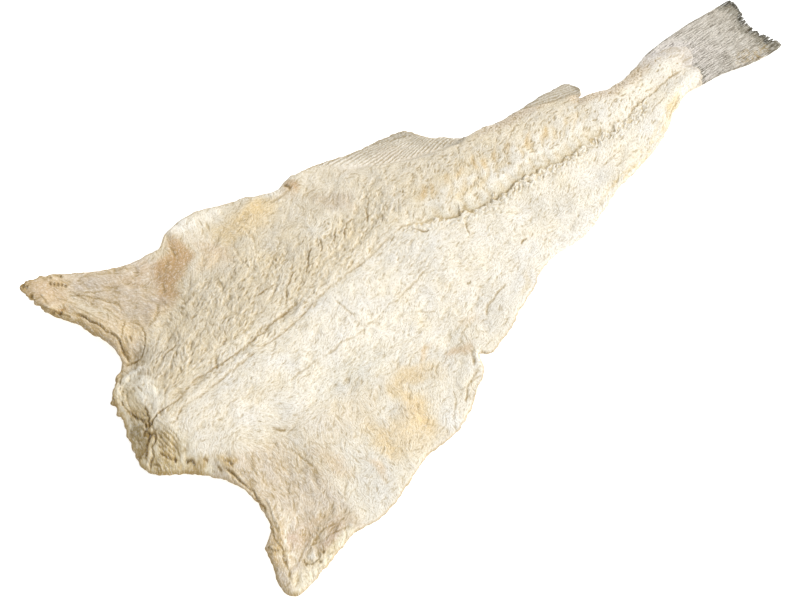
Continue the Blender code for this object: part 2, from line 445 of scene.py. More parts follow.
def loopNoise(seed, count, step, size):  # noise round a closed line
    white = np.random.default_rng(seed).standard_normal(count)
    wave = np.fft.rfftfreq(count)
    field = np.fft.irfft(np.fft.rfft(white) * np.exp(-2.0 * (math.pi * size / step * wave) ** 2), n=count)
    return field / field.std()


def outwardOf(line):
    run = np.roll(line, -1, axis=0) - np.roll(line, 1, axis=0)
    run = run / np.maximum(np.hypot(run[:, 0], run[:, 1]), 1e-9)[:, None]
    return np.column_stack([run[:, 1], -run[:, 0]])


def softenLoop(line, amount):
    for _ in range(amount):
        line = 0.5 * line + 0.25 * (np.roll(line, 1, axis=0) + np.roll(line, -1, axis=0))
    return line


def raggedRim():
    even = softenLoop(evenLine(np.vstack([cadRim, cadRim[:1]]), 3.0)[:-1], 2)
    keep = []
    since = 10.0
    for x, y in smoothLine(even, edge["fineStep"], closed=True):
        since += edge["fineStep"]
        if since + 0.05 >= (edge["tailStep"] if x > edge["tailFrom"] else edge["step"]):
            keep.append((x, y))
            since = 0.0
    line = np.array(keep)
    x, y = line.T
    count = len(line)
    step = edge["step"]
    tip = softStep((-318 - x) / 12) * softStep((y - 138) / 14)
    tail = softStep((x - 240) / 30)
    neck = softStep((-318 - x) / 10) * softStep((70 - np.abs(y - 8)) / 10)
    neck = neck * (0.35 + 0.65 * softStep((y - 4.0) / 12.0))  # its upper part is the knobbier one
    push = edge["wave"] * loopNoise(31, count, step, 5.0) * (1.0 - 0.8 * tail)
    push = push + edge["fray"] * loopNoise(32, count, step, 1.3) * (1.0 - 0.7 * tail)
    push = push + neck * edge["neckKnobs"] * (np.abs(loopNoise(35, count, step, 2.0)) - 0.7)
    push = push + tip * edge["warts"] * (np.abs(loopNoise(33, count, step, 1.8)) - 0.6)
    line = line + outwardOf(line) * push[:, None]
    for px, py, wide, dx, dy in edge["pushes"]:
        near = np.exp(-(((x - px) / wide) ** 2) - ((y - py) / wide) ** 2)
        line += near[:, None] * np.array((dx, dy))
    random = np.random.default_rng(34)
    place, high, gap = edge["teeth"]
    shallow, deep = edge["toothDepth"]
    end = softStep((x - 336) / 4)
    while place < high:
        depth = shallow + (deep - shallow) * random.uniform() ** 2.5
        width = edge["toothWidth"] * random.uniform(0.6, 1.6)
        notch = np.clip(1.0 - np.abs(y - place) / width, 0.0, 1.0)
        line[:, 0] -= end * depth * notch
        place += gap * random.uniform(0.35, 1.9)
    return line


def frayed(points, seed):  # a smooth line with a crumbly course between its fixed ends
    line = smoothLine(points, edge["step"])
    free = np.sin(np.linspace(0.0, math.pi, len(line))) ** 0.5
    push = cuts["fray"] * loopNoise(seed, len(line), edge["step"], 1.4) * free
    return line + outwardOf(line) * push[:, None] * (np.arange(len(line)) % (len(line) - 1) > 0)[:, None]


rim = raggedRim()


def rimPlace(x, y):
    return int(np.argmin((rim[:, 0] - x) ** 2 + (rim[:, 1] - y) ** 2))


rim = np.roll(rim, -rimPlace(*cuts["backbone"][0]), axis=0)
lowEnd = rimPlace(*cuts["endBelow"][0])
highEnd = rimPlace(*cuts["endAbove"][-1])
parting = smoothLine([tuple(rim[0])] + cuts["backbone"][1:], edge["step"])
cutShare = softStep((parting[:, 0] + 25.0) / 30.0) * softStep((215.0 - parting[:, 0]) / 20.0)
parting[2:-2, 1] += ((0.22 + 0.5 * cutShare) * loopNoise(36, len(parting), 1.0, 0.7))[2:-2]
parting[2:-2, 1] += (1.2 * cutShare * loopNoise(39, len(parting), 1.0, 1.8))[2:-2]
endBelow = frayed([tuple(rim[lowEnd])] + cuts["endBelow"][1:], 37)
endAbove = frayed(cuts["endAbove"][:-1] + [tuple(rim[highEnd])], 38)
below, above = rim[:lowEnd], rim[highEnd + 1:]
fleshLine = np.vstack([below, endBelow[:-1], endAbove, above])
lowerLine = np.vstack([below, endBelow[:-1], parting[::-1][:-1]])
upperLine = np.vstack([parting[:-1], endAbove, above])
finLine = np.vstack([rim[lowEnd:highEnd + 1], smoothLine(cuts["finRoot"], 1.5)])


def rimGap(x, y, line, block=4000):  # distance to the rim, negative outside it
    starts, ends = line, np.roll(line, -1, axis=0)
    run = ends - starts
    long2 = np.maximum((run**2).sum(1), 1e-12)
    found = np.empty(len(x))
    for at in range(0, len(x), block):
        px, py = x[at:at + block, None], y[at:at + block, None]
        fx, fy = px - starts[:, 0], py - starts[:, 1]
        t = np.clip((fx * run[:, 0] + fy * run[:, 1]) / long2, 0.0, 1.0)
        gap = np.sqrt(((fx - t * run[:, 0]) ** 2 + (fy - t * run[:, 1]) ** 2).min(1))
        crosses = (starts[:, 1] > py) != (ends[:, 1] > py)
        safe = np.where(run[:, 1] == 0, 1e-12, run[:, 1])
        left = crosses & (fx < (py - starts[:, 1]) * run[:, 0] / safe)
        found[at:at + block] = np.where(left.sum(1) % 2 == 1, gap, -gap)
    return found


def rimGapMap(line, step=3.0):
    xs, ys = coarsePlaces(step)
    px, py = np.meshgrid(xs, ys)
    return spreadMap(xs, ys, rimGap(px.ravel(), py.ravel(), line[::2]).reshape(px.shape))


inward = rimGapMap(fleshLine)
finInward = rimGapMap(finLine)
print("rim ready,", len(rim), "points")

# Meshes: an even grid inside a line, joined to it by a band of triangles.
grid = {
    "fleshCell": 0.89,
    "hiddenCell": 7.0,
    "skinCell": 1.9,
    "finCell": 0.82,
    "tailSqueeze": 0.5,  # rows run together towards the tail, where the fish is narrow
    "halfWidth": 200.0,
    "fromRim": 0.72,  # how far the grid keeps from the rim, in cells
    "nearRim": 5.5,  # within this the distance to the rim is worked out in full
}


def rowScale(x):
    return 1.0 - (1.0 - grid["tailSqueeze"]) * softStep((x + 60.0) / 400.0)


def gridInside(line, cell):
    xs = [line[:, 0].min() + cell * 0.6]
    while xs[-1] < line[:, 0].max():
        xs.append(xs[-1] + cell * (0.62 + 0.38 * float(rowScale(np.array(xs[-1])) * 2.0 - 1.0)))
    xs = np.array(xs)
    half = int(grid["halfWidth"] / cell / grid["tailSqueeze"]) + 1
    v = np.arange(-half, half + 1)
    px = np.repeat(xs[:, None], len(v), axis=1)
    py = v[None, :] * cell * rowScale(xs)[:, None]
    room = np.full(px.shape, -1.0)
    onSheet = np.abs(py) < -sheet["low"] - 2.0
    room[onSheet] = readAt(rimGapMap(line, 4.0), px[onSheet], py[onSheet])
    near = onSheet & (np.abs(room) < grid["nearRim"] + cell)
    room[near] = rimGap(px[near], py[near], line)
    keep = room > grid["fromRim"] * cell * rowScale(px) ** 0.5
    full = keep[:-1, :-1] & keep[1:, :-1] & keep[1:, 1:] & keep[:-1, 1:]
    return xs, px, py, full


def sidesOf(faces):
    corners = faces.shape[1]
    return np.concatenate([faces[:, [k, (k + 1) % corners]] for k in range(corners)])


def filledPlan(line, cell):
    # points, faces of four and of three corners, and the line's own indices
    xs, px, py, full = gridInside(line, cell)
    number = np.full(px.shape, -1)
    used = np.zeros(px.shape, bool)
    for di in (0, 1):
        for dj in (0, 1):
            used[di:px.shape[0] - 1 + di, dj:px.shape[1] - 1 + dj] |= full
    number[used] = np.arange(used.sum())
    inner = np.column_stack([px[used], py[used]])
    i, j = np.nonzero(full)
    quads = np.column_stack([number[i, j], number[i + 1, j], number[i + 1, j + 1], number[i, j + 1]])
    sides = sidesOf(quads)
    _, first, count = np.unique(np.sort(sides, axis=1), axis=0, return_index=True, return_counts=True)
    border = sides[first[count == 1]]
    band = np.unique(border)
    local = {int(n): k for k, n in enumerate(band)}
    points = [Vector(inner[n]) for n in band] + [Vector(p) for p in line]
    base = len(band)
    edges = [(local[int(a)], local[int(b)]) for a, b in border]
    edges += [(base + k, base + (k + 1) % len(line)) for k in range(len(line))]
    made = geometry.delaunay_2d_cdt(points, edges, [], 1, 1e-5)
    if len(made[0]) != len(points):
        raise ValueError("the rim crosses itself")
    back = {k: source[0] for k, source in enumerate(made[3])}
    triangles = np.array([[back[k] for k in face] for face in made[2]])
    places = np.array([tuple(p) for p in points])
    middle = places[triangles].mean(1)
    column = np.searchsorted(xs, middle[:, 0]) - 1
    share = (middle[:, 0] - xs[column]) / (xs[column + 1] - xs[column])
    scale = rowScale(xs[column]) * (1 - share) + rowScale(xs[column + 1]) * share
    row = np.floor(middle[:, 1] / (cell * scale)).astype(int) + (px.shape[1] - 1) // 2
    triangles = triangles[~full[column, row]]
    a, b, c = (places[triangles[:, k]] for k in range(3))
    turned = (b[:, 0] - a[:, 0]) * (c[:, 1] - a[:, 1]) < (b[:, 1] - a[:, 1]) * (c[:, 0] - a[:, 0])
    triangles[turned] = triangles[turned][:, ::-1]
    whole = np.concatenate([band, len(inner) + np.arange(len(line))])
    return np.vstack([inner, line]), quads, whole[triangles], len(inner) + np.arange(len(line))


def keepCrisp(mesh, rimPoints, crisp):  # the cut wall doesn't bend the shading of the top
    ends = np.empty(len(mesh.edges) * 2, np.int32)
    mesh.edges.foreach_get("vertices", ends)
    ends = ends.reshape(-1, 2)
    onCut = np.zeros(len(mesh.vertices), bool)
    onCut[rimPoints[crisp]] = True
    number = np.full(len(mesh.vertices), -10)
    number[rimPoints] = np.arange(len(rimPoints))
    beside = np.isin(np.abs(number[ends[:, 0]] - number[ends[:, 1]]), (1, len(rimPoints) - 1))
    mark = mesh.attributes.new("sharp_edge", "BOOLEAN", "EDGE")
    mark.data.foreach_set("value", onCut[ends].all(1) & beside)


def openEdges(fours, threes):
    ends = np.sort(np.vstack([sidesOf(fours), sidesOf(threes)]), axis=1)
    _, count = np.unique(ends, axis=0, return_counts=True)
    return int((count != 2).sum())


def closedPiece(name, line, cells, topHeight, lowHeight, bulge, crisp=None):
    # a top sheet and a bottom sheet on one rim, with a rounded wall between them
    top, topQuads, topTriangles, topRim = filledPlan(line, cells[0])
    low, lowQuads, lowTriangles, lowRim = filledPlan(line, cells[1])
    crisp = np.zeros(len(line), bool) if crisp is None else crisp
    ring = line + outwardOf(softenLoop(line, 2)) * bulge * (~crisp)[:, None]
    topZ = topHeight(top[:, 0], top[:, 1])
    lowZ = lowHeight(low[:, 0], low[:, 1])
    ringZ = (topZ[topRim] + lowZ[lowRim]) / 2.0
    xy = np.vstack([top, ring, low])
    z = np.concatenate([topZ, ringZ, lowZ])
    ringAt = len(top) + np.arange(len(line))
    lowAt = len(top) + len(line)
    after = np.roll(np.arange(len(line)), -1)
    upper = np.column_stack([topRim[after], topRim, ringAt, ringAt[after]])
    lowRing = lowAt + lowRim
    lower = np.column_stack([ringAt[after], ringAt, lowRing, lowRing[after]])
    fours = np.vstack([topQuads, lowAt + lowQuads[:, ::-1], upper, lower])
    threes = np.vstack([topTriangles, lowAt + lowTriangles[:, ::-1]])
    points = np.column_stack([xy, z]) * mm
    mesh = bpy.data.meshes.new(name)
    mesh.from_pydata(points.tolist(), [], fours.tolist() + threes.tolist())
    mesh.update()
    mesh.shade_smooth()
    if crisp.any():
        keepCrisp(mesh, topRim, crisp)
    piece = placed(name, mesh)
    print(name, "has", 2 * len(fours) + len(threes), "triangles,", openEdges(fours, threes), "open edges")
    onTop = np.arange(len(xy)) < lowAt
    return piece, xy[:, 0], xy[:, 1], onTop


print("drawing the flesh")
relief = np.zeros(gx.shape)  # height of the flesh above its plain surface
shadeAndStain = np.zeros(gx.shape)  # how dark the folds are: painted shade in the creases, cuts and pits, with some brown stain of their own

regions = {
    "upperLoin": [
        (-345, 20), (-330, 58), (-300, 64), (-285, 76), (-262, 86), (-235, 92), (-200, 84), (-165, 76),
        (-120, 68), (-90, 64), (-60, 78), (-20, 84), (12, 68), (48, 60), (105, 56), (150, 39),
        (185, 27), (240, 30), (262, 22), (262, 2), (190, -9), (125, -9), (60, -4), (0, 0), (-40, 15),
        (-130, 12), (-200, 0), (-300, -2), (-345, -10),
    ],
    "lowerLoin": [
        (-340, -10), (-300, -2), (-200, 0), (-130, 12), (-40, 15), (0, 0), (60, -4), (125, -9),
        (190, -9), (262, 2), (268, -12), (225, -27), (165, -50), (70, -75), (0, -88), (-70, -84),
        (-120, -76), (-180, -80), (-230, -78), (-262, -70), (-300, -62), (-330, -42),
    ],
    "upperEar": [
        (-362, 190), (-262, 190), (-245, 132), (-258, 96), (-286, 78), (-300, 66), (-332, 56),
    ],
    "lowerEar": [(-345, -62), (-300, -62), (-258, -72), (-243, -110), (-248, -196), (-345, -196)],
    "firstFin": [
        (-92, 134), (-84, 124), (-66, 115), (-46, 102), (-24, 90), (-5, 80), (16, 74), (46, 64), (60, 70),
        (30, 112), (-40, 128),
    ],
    "secondFin": [(102, 63), (115, 58), (142, 48.5), (160, 43), (171, 38), (180, 43), (178, 56), (140, 70)],
    "neck": [
        (-372, 70), (-332, 62), (-327, 46), (-329, 10), (-332, -4), (-326, -20), (-322, -44),
        (-312, -62), (-372, -62),
    ],
    "backboneBand": [
        (-45, 14), (-20, 3), (0, -1), (25, -5), (60, -4), (90, -8), (125, -9), (160, -12), (190, -9),
        (262, 2), (262, 14), (150, 26), (70, 34), (0, 44), (-40, 40),
    ],
}
softness = {"firstFin": 2.0, "secondFin": 0.8, "neck": 1.5, "backboneBand": 3.0}
zone = {name: area(corners, softness.get(name, 4.0)) for name, corners in regions.items()}
zone["flaps"] = np.clip(1.0 - sum(zone[n] for n in regions if n != "backboneBand"), 0.0, 1.0)
fleshy = 1.0 - np.clip(zone["firstFin"] + zone["secondFin"], 0.0, 1.0)
print("regions drawn")

# Which way the fibres run: place and angle, in degrees from the tail's direction.
fibres = [
    # the midline, the neck and the upper loin
    (-300, 0, 8), (-240, 3, 8), (-180, 8, 8), (-120, 13, 14), (-60, 17, 10), (-345, 0, 76),
    (-335, 30, 82), (-333, -22, 72), (-290, 45, 42), (-240, 40, 38), (-190, 45, 28), (-150, 45, 32),
    (-110, 45, 34), (-70, 50, 38), (-30, 45, 26), (20, 30, 42), (70, 28, 30), (120, 24, 26),
    (170, 18, 16), (220, 18, 14), (250, 12, 12),
    # the upper flap and ear
    (-250, 118, 28), (-208, 125, 56), (-185, 95, 40), (-163, 118, -4), (-160, 80, 35), (-118, 118, 22),
    (-118, 78, 35), (-75, 115, 12), (-75, 78, 42), (-332, 160, -50), (-340, 120, -70), (-322, 130, -68),
    (-312, 100, -78), (-300, 80, 84), (-298, 165, -22), (-292, 130, -55), (-270, 118, -45),
    (-280, 95, -58),
    # the upper edge by the fins
    (-28, 78, 20), (17, 78, 4), (62, 70, 24), (-50, 105, -8), (0, 95, -6), (28, 80, 0), (107, 70, 4),
    (152, 50, -3),
    # the lower loin
    (-290, -30, 16), (-250, -30, 12), (-208, -25, 8), (-160, -25, 28), (-118, -25, 26), (-73, -25, 8),
    (-28, -25, -4), (17, -20, 8), (60, -14, 30), (100, -14, 30), (152, -14, 30), (197, -12, 20),
    (242, -12, 18), (-253, -57, -40), (-208, -60, 6), (-163, -60, 12), (-118, -60, 10), (-73, -60, 17),
    (-28, -60, 10), (17, -60, 17), (62, -50, 12), (107, -45, 22), (152, -40, 14), (197, -30, 24),
    (242, -25, 28),
    # the lower flap
    (-210, -102, 72), (-180, -110, 70), (-150, -105, 60), (-118, -102, 30), (-95, -110, 32),
    (-208, -150, 45), (-163, -150, 30), (-118, -145, 45),
    # the lower ear
    (-298, -80, 80), (-298, -105, 86), (-253, -100, 88), (-310, -150, 58), (-322, -175, 56),
    (-290, -150, 56), (-262, -162, 20), (-253, -145, 55), (-232, -140, 70),
    # the tail fin
    (280, 5, 0), (320, 15, 1), (345, 28, 0), (300, 28, 2), (320, -15, -6), (345, -30, -12),
    (300, -20, -8),
]


fibreSpread = {"soften": 60.0, "across": 1.6, "falloff": 1.6}  # how far each place's angle reaches


def fibreAngle():
    xs = gx[0, ::8]
    ys = gy[::8, 0]
    px, py = np.meshgrid(xs, ys)
    rough = np.zeros(px.shape, complex)
    for x, y, degrees in fibres:
        reach = fibreSpread["soften"] + (px - x) ** 2 + (fibreSpread["across"] * (py - y)) ** 2
        weight = 1.0 / reach ** fibreSpread["falloff"]
        rough += weight * np.exp(2j * math.radians(degrees))
    rough /= np.abs(rough)
    return np.arctan2(spreadMap(xs, ys, rough.imag), spreadMap(xs, ys, rough.real)) / 2.0


calm = softStep((gx - 236.0) / 20.0)  # the tail's rays run straight
angle = fibreAngle() + (0.20 + 0.25 * zone["flaps"]) * (1.0 - calm) * lumps(15, 3.0, 12.0)
onFish = inward > -1.0


def combed(seed, fine, coarse, pull):  # lumps drawn out along the fibres
    field = lumps(seed, fine, coarse)
    for k in range(4):
        step = pull * 2.0**k / 15.0  # four steps that add up to the pull
        dx, dy = step * np.cos(angle), step * np.sin(angle)
        field = readAt(field, gx - dx, gy - dy) + readAt(field, gx + dx, gy + dy)
    field = field / field[onFish].std() + 0.35 * lumps(seed + 30, fine, coarse)
    return field / field[onFish].std()


def lay(seed, spacing, where, long, wide, stray, bend=0.03, blunt=0.6, tilt=0.0):
    # overlapping flakes or threads laid along the fibres, as heights from 0 to 1
    random = np.random.default_rng(seed)
    cell = sheet["cell"]
    weight = np.cumsum((where * onFish).ravel())
    count = int(weight[-1] * cell**2 / spacing**2)
    picks = np.searchsorted(weight, random.uniform(0, weight[-1], count))
    rows, columns = np.divmod(picks, sheet["columns"])
    turns = angle[rows, columns] + random.normal(0.0, stray, count)
    halfLong = random.uniform(long[0], long[1], count) / 2
    halfWide = random.uniform(wide[0], wide[1], count) / 2
    bends = random.normal(0.0, bend, count)
    tops = random.uniform(0.55, 1.0, count)
    tilts = random.normal(0.0, tilt, count)
    field = np.zeros(gx.shape)
    xs, ys = gx[0], gy[:, 0]
    for r, c, turn, a, b, curve, top, lean in zip(
        rows, columns, turns, halfLong, halfWide, bends, tops, tilts
    ):
        size = int(a / cell) + 2
        part = slice(max(r - size, 0), r + size + 1), slice(max(c - size, 0), c + size + 1)
        px = xs[part[1]] - xs[c]
        py = (ys[part[0]] - ys[r])[:, None]
        along = (px * math.cos(turn) + py * math.sin(turn)) / a
        across = (py * math.cos(turn) - px * math.sin(turn)) / b + (curve * a * a / b) * along**2
        dome = np.clip(1.0 - along**2 - across**2, 0.0, None) ** blunt
        field[part] = np.maximum(field[part], top * dome * (1.0 + lean * across))
    return field


# The grain of the flesh, from fine strands to broad swells, drawn out along the fibres.
strands = {
    # seed, fine, coarse, how far drawn out
    "fine": (61, 0.42, 0.90, 1.4),
    "middle": (62, 0.9, 2.0, 3.2),
    "broad": (63, 2.2, 5.5, 5.0),
    "thread": (64, 1.1, 2.6, 10.0),
}
texture = {
    # how high each stands, in the order of the strands, then the flakes
    "upperLoin": (0.16, 0.16, 0.34, 0.12, 0.25),
    "lowerLoin": (0.09, 0.06, 0.22, 0.10, 0.02),
    "upperEar": (0.09, 0.10, 0.34, 0.24, 0.00),
    "lowerEar": (0.12, 0.11, 0.30, 0.24, 0.00),
    "firstFin": (0.04, 0.03, 0.06, 0.03, 0.00),
    "secondFin": (0.05, 0.05, 0.05, 0.10, 0.00),
    "neck": (0.14, 0.14, 0.24, 0.12, 0.00),
    "flaps": (0.06, 0.05, 0.18, 0.11, 0.00),
}


def amountOf(k):
    return sum(zone[name] * heights[k] for name, heights in texture.items())


patchy = 0.6 + 0.8 * softStep(0.5 + 0.42 * lumps(17, 6.0, 26.0))
patchy *= 1.0 - 0.75 * zone["backboneBand"]
grainFields = {name: combed(*numbers) for name, numbers in strands.items()}
relief += amountOf(0) * patchy * grainFields["fine"]
relief += amountOf(1) * patchy * grainFields["middle"]
hollowed = grainFields["broad"] - 0.5 * np.abs(grainFields["broad"])  # deeper in its hollows
relief += amountOf(2) * (1.0 - 0.6 * zone["backboneBand"]) * hollowed
threadRidge = np.clip(1.0 - np.abs(grainFields["thread"]) / 0.45, 0.0, None)
threadRidge *= softStep(0.5 + 0.6 * lumps(65, 3.0, 12.0))
relief += 1.3 * amountOf(3) * (threadRidge - 0.25)
print("strands combed")
flakes = lay(66, 4.2, amountOf(4) > 0.02, (5.0, 11.0), (2.8, 5.0), 0.5, 0.03, 0.55, 0.35)
flakes *= softStep(0.45 + 0.5 * lumps(67, 3.0, 11.0))
relief += 1.3 * amountOf(4) * (1.0 - 0.9 * zone["backboneBand"]) * flakes
# the rear is smoother, and so are the lower flaps
relief *= 1.0 - softStep((gx + 60.0) / 60.0) * (0.38 + 0.1 * (gy > 8))
relief *= 1.0 - 0.2 * softStep((-gy - 75.0) / 20.0) * softStep((gx + 270.0) / 40.0)
relief += 0.55 * lumps(27, 9.0, 40.0) * fleshy
print("flakes laid")

# Folds and cuts: the line, how deep, half width, how brown (the painted shade and stain in the crease).
folds = [
    # the crease along the upper side of the midline
    ([(-332, -1), (-326, 1), (-315, 2), (-302, 2), (-288, 5), (-276, 8), (-240, 7), (-210, 10.5),
      (-182, 14), (-165, 17)], 1.0, 1.1, 0.8),
    ([(-337, -4), (-332, -1), (-326, 1), (-312, 2)], 2.0, 1.0, 1.0),
    ([(-264, 7), (-255, 17)], 0.7, 1.1, 0.7),
    # the neck: a pale roll, a golden hollow, a dark lobe, a deep crease and a smaller lobe
    ([(-312, 49), (-322, 48), (-330, 47), (-336, 41), (-339, 33)], 0.6, 0.8, 0.25),
    ([(-339, 36), (-341, 28), (-340, 18), (-337, 9), (-334, 3)], 1.7, 1.0, 1.0),
    ([(-326, 61), (-334, 57), (-340, 50), (-345, 42), (-347, 30)], 1.3, 1.0, 0.9),
    ([(-330, 41), (-334, 33), (-337, 22), (-335, 9)], 0.6, 0.7, 0.35),
    ([(-329, 36), (-332, 27), (-333, 15), (-333, 6)], 0.5, 0.7, 0.25),
    ([(-329, 15), (-331, 5), (-335, -3)], 1.6, 1.0, 1.0),
    ([(-335, 4), (-338, -4), (-340, -10), (-344, -11), (-348, -15), (-354, -18)], 1.9, 1.2, 1.0),
    ([(-337, -8), (-338, -15), (-343, -17), (-346, -22), (-350, -22), (-353, -27)], 1.4, 1.1, 0.9),
    ([(-350, -24), (-347, -30), (-349, -36)], 1.2, 0.9, 0.8),
    ([(-346, 0), (-349, -6), (-351, -12)], 0.7, 0.8, 0.5),
    ([(-342, -24), (-339, -28), (-336, -34)], 1.4, 0.9, 0.9),
    ([(-327, -41), (-324, -45), (-324, -49)], 1.4, 1.2, 1.0),
    ([(-317, -50), (-315, -55)], 1.3, 1.2, 1.0),
    ([(-304, -61), (-300, -65), (-301, -69)], 1.4, 1.2, 1.0),
    ([(-310, -62), (-309, -67)], 1.0, 1.0, 0.9),
    ([(-319, 64), (-311, 61), (-305, 60)], 1.2, 1.0, 0.9),
    # cracks across the muscle of the upper flank
    ([(-293, 43), (-288, 46), (-275, 48)], 1.0, 0.9, 1.0),
    ([(-183, 18), (-170, 32), (-157, 42)], 1.0, 0.9, 0.9),
    ([(-150, 33), (-141, 44), (-130, 54)], 1.0, 0.9, 0.9),
    ([(-127, 42), (-118, 56)], 1.1, 0.9, 1.0),
    ([(-113, 45), (-100, 58)], 1.1, 0.9, 1.0),
    ([(-103, 41), (-94, 51), (-82, 56)], 1.4, 0.9, 1.0),
    ([(-77, 43), (-72, 50), (-66, 57)], 1.1, 0.9, 1.0),
    ([(-66, 35), (-61, 42)], 0.9, 0.9, 0.8),
    ([(-34, 54), (-30, 47)], 0.8, 0.9, 0.8),
    ([(-200, 43), (-178, 42)], 0.9, 0.9, 1.0),
    ([(-152, 53), (-147, 56)], 0.9, 0.9, 0.9),
    ([(-245, 20), (-240, 26)], 0.8, 0.9, 0.8),
    ([(-165, 58), (-150, 68)], 0.7, 0.9, 0.6),
    # the lower flank
    ([(-51, 12.5), (-46, 8), (-41, 4), (-38, 5)], 1.2, 0.9, 1.0),
    ([(-8, -9), (-11, -15), (-13, -22)], 0.8, 0.8, 0.9),
    ([(19, -53), (24, -51), (30, -51)], 0.8, 0.8, 0.9),
    ([(-43, -57), (-37, -54)], 0.9, 0.9, 1.0),
    ([(-58, -23), (-72, -27), (-87, -31)], 0.5, 0.8, 0.6),
    ([(-96, -50), (-88, -55), (-81, -59)], 0.6, 0.8, 0.7),
    ([(-230, -40), (-185, -38), (-150, -38), (-120, -35), (-100, -32), (-52, -23)], 0.6, 0.9, 0.35),
    ([(-146, -2), (-142, -28)], 0.5, 0.9, 0.35),
    ([(-257, -62), (-247, -70)], 1.3, 1.1, 0.8),
    # the upper ear and flap
    ([(-328, 129), (-324, 122), (-320, 110), (-316, 99), (-312, 91), (-311, 83), (-313, 76), (-314, 60)],
     2.8, 1.1, 1.0),
    ([(-346, 150), (-342, 142), (-336, 132), (-330, 124)], 1.3, 0.9, 1.0),
    ([(-341, 160), (-341, 145)], 0.8, 0.9, 0.5),
    ([(-322, 151), (-304, 134), (-293, 119), (-289, 106)], 0.8, 0.8, 0.5),
    ([(-316, 145), (-303, 119), (-296, 96)], 0.7, 0.8, 0.4),
    ([(-334, 158), (-326, 142), (-318, 122), (-311, 106), (-305, 96)], 0.6, 0.8, 0.5),
    ([(-301, 84), (-303, 78)], 1.8, 0.9, 1.0),
    ([(-294, 102), (-308, 84), (-312, 62)], 0.7, 0.8, 0.6),
    ([(-291, 96), (-289, 84), (-292, 72), (-301, 62), (-309, 57)], 1.1, 0.8, 0.8),
    ([(-320, 148), (-300, 138), (-280, 129)], 0.7, 0.9, 0.4),
    ([(-306, 156), (-284, 146), (-272, 144)], 0.6, 0.9, 0.4),
    ([(-224, 136), (-226, 125)], 0.9, 1.1, 0.7),
    ([(-232, 128), (-246, 114), (-256, 100)], 0.7, 1.6, 0.4),
    ([(-262, 98), (-270, 88), (-285, 80)], 0.8, 1.6, 0.35),
    ([(-178, 106), (-185, 80)], 0.7, 1.3, 0.3),
    ([(-161, 112), (-162, 96), (-171, 80)], 0.8, 1.3, 0.3),
    ([(-130, 118), (-105, 117)], 1.0, 1.0, 0.6),
    ([(-107, 125), (-106, 117)], 2.0, 1.6, 1.0),
    # the lower ear and flap
    ([(-307, -64), (-303, -80), (-301, -92), (-301, -106), (-302, -120)], 2.6, 1.0, 1.0),
    ([(-301, -112), (-304, -126), (-308, -138), (-311, -152), (-316, -167), (-320, -176)], 1.0, 1.0, 0.8),
    ([(-313, -150), (-317, -148), (-318, -142)], 1.4, 0.9, 1.0),
    ([(-299, -165), (-302, -169), (-301, -173), (-296, -175), (-290, -174), (-285, -171)], 0.9, 0.6, 0.9),
    ([(-256, -166), (-268, -164), (-280, -164), (-292, -161)], 0.8, 0.8, 0.5),
    ([(-249, -160), (-277, -157), (-298, -167)], 0.6, 0.8, 0.5),
    ([(-254, -82), (-249, -104), (-249, -116)], 0.9, 1.0, 0.5),
    ([(-288, -75), (-288, -88)], 0.6, 1.0, 0.4),
    ([(-115, -141), (-105, -131), (-95, -125.5), (-84, -123)], 1.1, 1.0, 0.7),
    ([(-131, -146), (-116, -131)], 0.8, 1.0, 0.5),
    ([(-79, -104), (-86, -118)], 1.2, 1.2, 0.6),
    # the thin rear part of the belly
    ([(-48, -88), (-40, -81), (-12, -73)], 0.9, 1.0, 0.5),
    ([(130, -35), (150, -33)], 0.6, 0.9, 0.4),
    ([(140, -43), (170, -40)], 0.6, 0.9, 0.4),
    ([(184, -10), (194, -6), (210, -4), (226, -2), (247, 1), (263, 2)], 1.1, 0.8, 0.8),
    ([(200, -20), (216, -16), (228, -14)], 0.7, 0.8, 0.6),
    ([(240, -20), (229, -26), (216, -32)], 0.6, 0.9, 0.4),
    ([(172, 37), (187, 31)], 1.0, 0.8, 1.0),
]
# Gaps between the flakes below the backbone's bed: where each starts, and how far it runs.
gaps = [
    (50, -6, 5), (56, -5, 6), (68, -5, 5), (82, -7, 9), (97, -8, 5), (104, -9, 7), (113, -9, 6),
    (122, -9, 7), (133, -9, 6), (146, -10, 6), (158, -13, 6), (167, -13, 5), (22, -3, 5), (36, -4, 6),
]
for x, y, long in gaps:
    folds.append(([(x, y), (x - 0.3 * long, y - 0.7 * long), (x - 0.8 * long, y - long)], 1.1, 0.7, 0.9))
# Streaks on the shoulder beside the neck.
for k in range(6):
    x, y = -339 + 2.4 * k, -18 + 2.2 * k
    folds.append(([(x, y), (x + 1.5, y - 9), (x + 5, y - 16 - 1.5 * k)], 1.1, 0.75, 0.45))
for line, depth, width, brown in folds:
    part, gap, _, taper = nearLine(line, 4.5 * width)
    steady = min(0.85, 0.3 + 0.25 * depth)
    show = taper * (steady + (1.0 - steady) * uneven[part])
    valley = np.exp(-((gap / (0.75 * width)) ** 2))
    lips = np.exp(-(((gap - 2.1 * width) / (0.9 * width)) ** 2))
    relief[part] += show * depth * (0.2 * lips - 0.75 * valley)
    shadeAndStain[part] = np.maximum(shadeAndStain[part], show * brown * np.exp(-((gap / (0.7 * width)) ** 2)))

relief += 5.0 * spot(-343, 40, 19, 26, 0, 1.5)  # the neck's upper corner stands level with the shoulder

